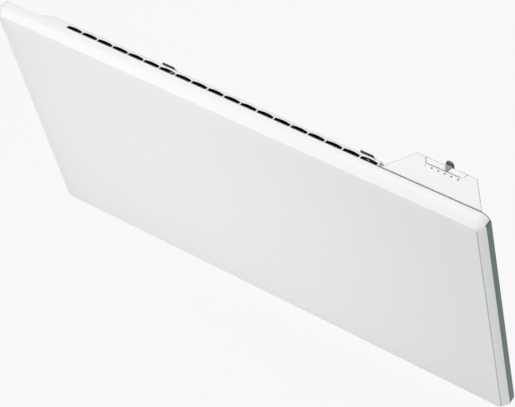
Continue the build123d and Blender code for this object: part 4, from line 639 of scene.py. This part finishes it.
@dataclass
class FrontPanel:
    """The folded front sheet: a flat face, a bevel all round and a flange turned back to the casing.

    All sizes are in millimetres. A slack is how near to the flange, an end or the hem a face has to lie
    to count as part of it.
    """

    width: float = 720.0
    height: float = 392.0
    reach: float = 63.0
    sheet: float = 1.0
    bevel_inset: float = 7.0
    bevel_depth: float = 9.7
    flange_depth: float = 10.5
    corner_radius: float = 13.0
    fold_radius: float = 1.1
    inner_fold_radius: float = 0.4
    flat_start: float = 40.0
    hem: float = 1.0
    hem_slack: float = 0.01
    least_corner_radius: float = 0.5
    slack: float = 0.3
    end_slack: float = 1.2
    fold_shade_depth: float = 0.9
    fold_shade_insets: Span = (6.2, 7.5)
    fold_shade_margins: Span = (9.0, 11.0)
    shade_corner_share: float = 1.05
    smooth_deg: float = 30.0
    slot_first_x: float = -253.4
    slot_pitch: float = 24.4
    slot_bridge: float = 2.0
    slot_count: int = 19
    corner_steps: int = 14

    def profile(self) -> list[Point]:
        """Gives the sheet's section.

        Returns:
            (distance in from the rim, reach from the wall), from the face's outside round the rim to its
            inside.
        """
        bend = self.reach - self.bevel_depth
        rear = bend - self.flange_depth
        lean = math.atan2(self.bevel_depth, self.bevel_inset)
        inner_face = self.bevel_inset + self.sheet * math.tan(lean / 2)
        inner_bend = bend - self.sheet * math.tan((math.pi / 2 - lean) / 2)
        outer = [
            (self.flat_start, self.reach),
            (self.bevel_inset, self.reach),
            (0.0, bend),
            (0.0, rear + self.hem),
        ]
        rim = [(0.0, rear), (self.sheet, rear)]
        inner_reach = self.reach - self.sheet
        inner = [(self.sheet, inner_bend), (inner_face, inner_reach), (self.flat_start, inner_reach)]
        outer_radii = [0.0, self.fold_radius, self.fold_radius, 0.0]
        inner_radii = [self.inner_fold_radius, self.inner_fold_radius, 0.0]
        radii = outer_radii + [0.0, 0.0] + inner_radii
        return Shape.rounded(outer + rim + inner, radii)

    def outline(self, inset: float) -> list[Point]:
        """Gives the panel's outline, moved in by a distance, with points at the slots' ends along the top.

        Args:
            inset: how far in from the rim.

        Returns:
            (x, z) points, anticlockwise as seen from the room.
        """
        radius = max(self.corner_radius - inset, self.least_corner_radius)
        across, up = self.width / 2 - inset - radius, self.height / 2 - inset - radius
        points: list[Point] = []
        for turn, (side_x, side_z) in enumerate(((1, -1), (1, 1), (-1, 1), (-1, -1))):
            for step in range(self.corner_steps + 1):
                angle = math.pi / 2 * (turn - 1 + step / self.corner_steps)
                x = side_x * across + radius * math.cos(angle)
                points.append((x, side_z * up + radius * math.sin(angle)))
            if turn == 1:
                top = up + radius
                for slot in reversed(range(self.slot_count)):
                    start = self.slot_first_x + slot * self.slot_pitch
                    points.append((start + self.slot_pitch - self.slot_bridge, top))
                    points.append((start, top))
        return points

    def in_rear_edge_shade(self, x: float, z: float) -> bool:
        """Tells where the rear edge takes painted shade: the shadow in the slots before it and in the gap
        beside the housing.

        Args:
            x: a place along the panel, in millimetres.
            z: its height, in millimetres.

        Returns:
            Whether the edge is dark there.
        """
        if z < self.height / 2 - self.corner_radius * self.shade_corner_share:
            return False
        along = x - self.slot_first_x
        if along < 0:
            return False
        last = self.slot_count * self.slot_pitch
        return along > last or along % self.slot_pitch < self.slot_pitch - self.slot_bridge

    def build(self, materials: Sequence[bpy.types.Material]) -> None:
        """Builds the panel in place of its CAD node.

        Args:
            materials: one for each PanelCoat, in its order.
        """
        build = bmesh.new()
        profile = self.profile()
        loops = []
        for inset, reach in profile:
            loops.append([build.verts.new((x * MM, -reach * MM, z * MM)) for x, z in self.outline(inset)])
        count = len(loops[0])
        bend = self.reach - self.bevel_depth
        rear = bend - self.flange_depth
        rim_at = profile.index((self.sheet, rear))
        hem_end = rear + self.hem + self.hem_slack
        fold_from, fold_to = self.fold_shade_insets
        fold_half_x = self.width / 2 - self.fold_shade_margins[0]
        fold_half_z = self.height / 2 - self.fold_shade_margins[1]
        pairs = zip(zip(profile, profile[1:]), zip(loops, loops[1:]))
        for row, ((near, far), (loop, following)) in enumerate(pairs):
            low, high = sorted((near[1], far[1]))
            at_face = row < rim_at and self.reach - self.fold_shade_depth < low
            fold = at_face and fold_from < far[0] and near[0] < fold_to
            flange = near[0] < self.slack and far[0] < self.slack and low < bend - self.slack
            hem = flange and high <= hem_end
            for at in range(count):
                after = (at + 1) % count
                face = build.faces.new((loop[at], following[at], following[after], loop[after]))
                middle = face.calc_center_median() / MM
                at_end = abs(abs(middle.x) - self.width / 2) < self.end_slack
                # The end flanges take the painted side shade.
                if flange and at_end:
                    face.material_index = PanelCoat.END_FLANGE_SHADE
                # The hem before each slot and beside the housing takes the painted rear-edge shade.
                if hem and self.in_rear_edge_shade(middle.x, middle.z):
                    face.material_index = PanelCoat.REAR_EDGE_SHADE
                # The rim and the inside take painted shade.
                if row >= rim_at:
                    face.material_index = PanelCoat.INTERIOR_SHADE
                # Strips along the vertical folds take painted shade.
                if fold and abs(middle.x) > fold_half_x and abs(middle.z) < fold_half_z:
                    face.material_index = PanelCoat.FOLD_SHADE
        build.faces.new(loops[0])
        # The inside cap takes painted shade.
        build.faces.new(list(reversed(loops[-1]))).material_index = PanelCoat.INTERIOR_SHADE
        bmesh.ops.recalc_face_normals(build, faces=build.faces)
        mesh = bpy.data.meshes.new("front_panel_sheet")
        build.to_mesh(mesh)
        build.free()
        for material in materials:
            mesh.materials.append(material)
        panel = Shape.piece("front_panel_sheet", mesh, "heater", "panel_paint", self.smooth_deg)
        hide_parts("front_panel")


@dataclass
class SliderKnob:
    """The thermostat's thumb tab and its pointer over the scoop's floor. Sizes are in millimetres."""

    tab_front_y: float = -4.9
    slack: float = 0.02
    smooth_deg: float = 30.0

    def build(self, tab: bpy.types.Material, pointer: bpy.types.Material) -> None:
        """Builds the knob in place of its CAD node, with the pointer painted paler as a painted highlight
        on its sloping top.

        Args:
            tab: the tab's plastic.
            pointer: the paler material that paints the light on the pointer.
        """
        mesh = frame["nodes"]["slider_knob"].data.copy()
        mesh.name = "thermostat_knob"
        mesh.materials.clear()
        mesh.materials.append(tab)
        mesh.materials.append(pointer)
        # Faces in front of the tab take the pointer's painted highlight.
        for face in mesh.polygons:
            face.material_index = 1 if face.center.y < (self.tab_front_y - self.slack) * MM else 0
        knob = Shape.piece("thermostat_knob", mesh, "slider", "knob_plastic", self.smooth_deg)
        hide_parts("slider_knob")


@dataclass
class ScaleMarks:
    """The printed temperature scale: a row of plain dots and one short tick. Sizes are in millimetres."""

    top_z: float = 195.5
    dot_y: float = -16.85
    dots_x: tuple[float, ...] = (266.4, 275.3, 283.8, 292.6, 301.6)
    dot_radius: float = 1.25
    tick_x: float = 258.0
    tick_half: Span = (0.35, 1.3)
    ink: float = 0.06
    dot_taper: float = 0.94
    tick_taper: Span = (0.8, 0.9)
    dot_sides: int = 24

    def build(self, ink: bpy.types.Material) -> None:
        """Builds the marks on top of the housing.

        Args:
            ink: the printing ink.
        """
        build = bmesh.new()
        for x in self.dots_x:
            top_radius = self.dot_radius * self.dot_taper
            profile = [(self.dot_radius, 0.0), (top_radius, self.ink), (0.0, self.ink)]
            centre = Vector((x, self.dot_y, self.top_z))
            Shape.turned(build, profile, centre, Vector((0, 0, 1)), self.dot_sides)
        wide, deep = self.tick_half
        rim = [(-wide, -deep), (wide, -deep), (wide, deep), (-wide, deep)]
        low = [build.verts.new(Vector((self.tick_x + x, self.dot_y + y, self.top_z)) * MM) for x, y in rim]
        in_x, in_y = self.tick_taper
        high_z = self.top_z + self.ink
        high = [
            build.verts.new(Vector((self.tick_x + in_x * x, self.dot_y + in_y * y, high_z)) * MM)
            for x, y in rim
        ]
        build.faces.new(high)
        for at in range(len(rim)):
            after = (at + 1) % len(rim)
            build.faces.new((low[at], low[after], high[after], high[at]))
        bmesh.ops.recalc_face_normals(build, faces=build.faces)
        mesh = bpy.data.meshes.new("scale_marks")
        build.to_mesh(mesh)
        build.free()
        mesh.materials.append(ink)
        Shape.piece("scale_marks", mesh, "heater", "knob_plastic")


@dataclass
class WallBuffers:
    """The two rubber feet that keep the casing's bottom off the wall. Sizes are in millimetres."""

    centres: tuple[Point, ...] = ((-230.02, -125.0), (230.02, -125.0))
    tip_y: float = -1.0
    root_y: float = -21.5
    end_y: float = -23.8
    tip_radius: float = 6.6
    root_radius: float = 8.4
    stem_radius: float = 4.0
    grooves: int = 3
    barb_taper: float = 0.8
    chamfer: float = 0.5
    groove_half: float = 1.1
    groove_floor_half: float = 0.5
    groove_depth: float = 0.7
    tip_bend: float = 0.9
    tip_round: Span = (0.3, 0.25)
    tip_lip: float = 1.0
    dimple_radii: Span = (1.8, 1.2)
    dimple_depth: float = 0.8
    smooth_deg: float = 45.0

    def profile(self) -> list[Point]:
        """Gives the foot's half section, from the barb inside the casing to the tip at the wall.

        Returns:
            (radius, distance from the barb's end).
        """
        length = self.root_y - self.end_y
        body = self.tip_y - self.root_y
        line = [
            (0.0, 0.0),
            (self.stem_radius * self.barb_taper, 0.0),
            (self.stem_radius, self.chamfer),
            (self.stem_radius, length),
            (self.root_radius - self.chamfer, length),
            (self.root_radius, length + self.chamfer),
        ]
        for groove in range(self.grooves):
            middle = (groove + 1) / (self.grooves + 1)
            radius = self.root_radius + (self.tip_radius - self.root_radius) * middle
            at = length + body * middle
            floor = radius - self.groove_depth
            line += [
                (radius, at - self.groove_half),
                (floor, at - self.groove_floor_half),
                (floor, at + self.groove_floor_half),
                (radius, at + self.groove_half),
            ]
        end = length + body
        line += [
            (self.tip_radius, end - self.tip_bend),
            (self.tip_radius - self.tip_round[0], end - self.tip_round[1]),
            (self.tip_radius - self.tip_lip, end),
            (self.dimple_radii[0], end),
            (self.dimple_radii[1], end - self.dimple_depth),
            (0.0, end - self.dimple_depth),
        ]
        return line

    def build(self, rubber: bpy.types.Material) -> None:
        """Builds the feet in place of their CAD node.

        Args:
            rubber: the moulded rubber.
        """
        build = bmesh.new()
        for x, z in self.centres:
            Shape.turned(build, self.profile(), Vector((x, self.end_y, z)), Vector((0, 1, 0)))
        bmesh.ops.recalc_face_normals(build, faces=build.faces)
        mesh = bpy.data.meshes.new("rubber_feet")
        build.to_mesh(mesh)
        build.free()
        mesh.materials.append(rubber)
        feet = Shape.piece("rubber_feet", mesh, "heater", "grommet_rubber", self.smooth_deg)
        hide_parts("wall_buffers")


# ------------------------------------------------------------------ surroundings
@dataclass(frozen=True)
class Lamp:
    """One square lamp that faces the heater.

    Args:
        name: the lamp's name.
        power: its power in watts.
        size: its side in metres.
        place: where it stands, in metres.
    """

    name: str
    power: float
    size: float
    place: Place

    def build(self) -> None:
        """Hangs the lamp in the scene."""
        lamp = bpy.data.lights.new(self.name, "AREA")
        lamp.energy = self.power
        lamp.size = self.size
        holder = bpy.data.objects.new(self.name, lamp)
        holder.location = self.place
        holder.rotation_euler = (-Vector(self.place)).to_track_quat("-Z", "Y").to_euler()
        bpy.context.scene.collection.objects.link(holder)


@dataclass
class Studio:
    """The floor, the light and the camera around the heater.

    Places are in metres. camera_x, camera_y and camera_z are the camera's own axes, solved with its
    place and lens from the panel's edges in the photograph.
    """

    floor_z: float = -0.55
    floor_half: float = 8.0
    camera_place: Place = (1.1770, -1.1125, 2.0056)
    camera_x: Place = (0.80393, 0.57068, -0.16739)
    camera_y: Place = (-0.37820, 0.70780, 0.59664)
    camera_z: Place = (0.45897, -0.41635, 0.78485)
    lens_mm: float = 142.35
    sensor_mm: float = 36.0
    sky_light: float = 0.12
    sky_seen: float = 0.94
    floor_colour: Colour = (0.4, 0.4, 0.4)
    floor_roughness: float = 0.9
    floor_glow: float = 0.9
    lamps: tuple[Lamp, ...] = (
        Lamp("front_lamp", 7.0, 0.7, (-0.24, -1.05, 0.08)),
        Lamp("side_lamp", 47.0, 1.3, (3.3, -1.0, 0.6)),
        Lamp("back_lamp", 17.0, 0.6, (-0.4, 2.4, 0.2)),
        Lamp("top_lamp", 77.0, 2.0, (-0.5, 0.1, 3.0)),
    )

    @staticmethod
    def _plain_ray(tree: bpy.types.NodeTree) -> bpy.types.NodeSocket:
        """Tells the rays that the camera, a mirror or clear glass sees from the rays of light.

        Args:
            tree: the tree that the nodes go in.

        Returns:
            A socket of 1 for what is seen and 0 for what lights.
        """
        rays = tree.nodes.new("ShaderNodeLightPath")
        seen = tree.nodes.new("ShaderNodeMath")
        seen.operation = "MAXIMUM"
        tree.links.new(rays.outputs["Is Camera Ray"], seen.inputs[0])
        tree.links.new(rays.outputs["Is Glossy Ray"], seen.inputs[1])
        through = tree.nodes.new("ShaderNodeMath")
        through.operation = "MAXIMUM"
        tree.links.new(seen.outputs[0], through.inputs[0])
        tree.links.new(rays.outputs["Is Transmission Ray"], through.inputs[1])
        return through.outputs[0]

    def camera(self) -> None:
        """Stands the camera where the photograph was taken from."""
        data = bpy.data.cameras.new("view")
        data.lens = self.lens_mm
        data.sensor_width = self.sensor_mm
        holder = bpy.data.objects.new("view", data)
        turn = Matrix((self.camera_x, self.camera_y, self.camera_z)).transposed().to_4x4()
        holder.matrix_world = Matrix.Translation(self.camera_place) @ turn
        bpy.context.scene.collection.objects.link(holder)
        bpy.context.scene.camera = holder

    def light(self) -> None:
        """Sets an even sky and the soft lamps."""
        world = bpy.data.worlds.new("studio_sky")
        world.use_nodes = True
        tree = world.node_tree
        background = tree.nodes["Background"]
        background.inputs["Color"].default_value = (1, 1, 1, 1)
        strength = tree.nodes.new("ShaderNodeMapRange")
        strength.inputs["To Min"].default_value = self.sky_light
        strength.inputs["To Max"].default_value = self.sky_seen
        tree.links.new(self._plain_ray(tree), strength.inputs["Value"])
        tree.links.new(strength.outputs[0], background.inputs["Strength"])
        bpy.context.scene.world = world
        for lamp in self.lamps:
            lamp.build()

    def floor(self) -> None:
        """Lays the pale floor, which glows a little for what sees it and still takes shadows."""
        mesh = bpy.data.meshes.new("studio_floor")
        half = self.floor_half
        corners = [(-half, -half), (half, -half), (half, half), (-half, half)]
        mesh.from_pydata([(x, y, self.floor_z) for x, y in corners], [], [(0, 1, 2, 3)])
        floor = bpy.data.objects.new("studio_floor", mesh)
        bpy.context.scene.collection.objects.link(floor)
        material = bpy.data.materials.new("floor_white")
        material.use_nodes = True
        tree = material.node_tree
        tree.nodes["Principled BSDF"].inputs["Base Color"].default_value = (*self.floor_colour, 1)
        tree.nodes["Principled BSDF"].inputs["Roughness"].default_value = self.floor_roughness
        glow = tree.nodes.new("ShaderNodeEmission")
        share = tree.nodes.new("ShaderNodeMath")
        share.operation = "MULTIPLY"
        share.inputs[1].default_value = self.floor_glow
        tree.links.new(self._plain_ray(tree), share.inputs[0])
        mix = tree.nodes.new("ShaderNodeMixShader")
        tree.links.new(share.outputs[0], mix.inputs[0])
        tree.links.new(tree.nodes["Principled BSDF"].outputs[0], mix.inputs[1])
        tree.links.new(glow.outputs[0], mix.inputs[2])
        tree.links.new(mix.outputs[0], tree.nodes["Material Output"].inputs["Surface"])
        mesh.materials.append(material)

    def build(self) -> None:
        """Builds the floor, the light and the camera."""
        bpy.context.scene.view_settings.view_transform = "Standard"
        self.camera()
        self.light()
        self.floor()


def main() -> None:
    """Builds the scene around the frame."""
    logging.basicConfig(level=logging.INFO, format="%(name)s %(message)s")
    Studio().build()
    dresser = Dresser()
    dresser.dress(frame["nodes"], frame["record"])
    wear = dresser.materials
    FrontPanel().build([wear[name] for name in ("panel_paint", "side_shade", "rear_edge_shade", "interior_shade", "fold_shade_line")])
    SliderKnob().build(wear["knob_plastic"], wear["pointer_painted_highlight"])
    ScaleMarks().build(wear["scale_ink"])
    WallBuffers().build(wear["grommet_rubber"])


if __name__ == "__main__":
    main()
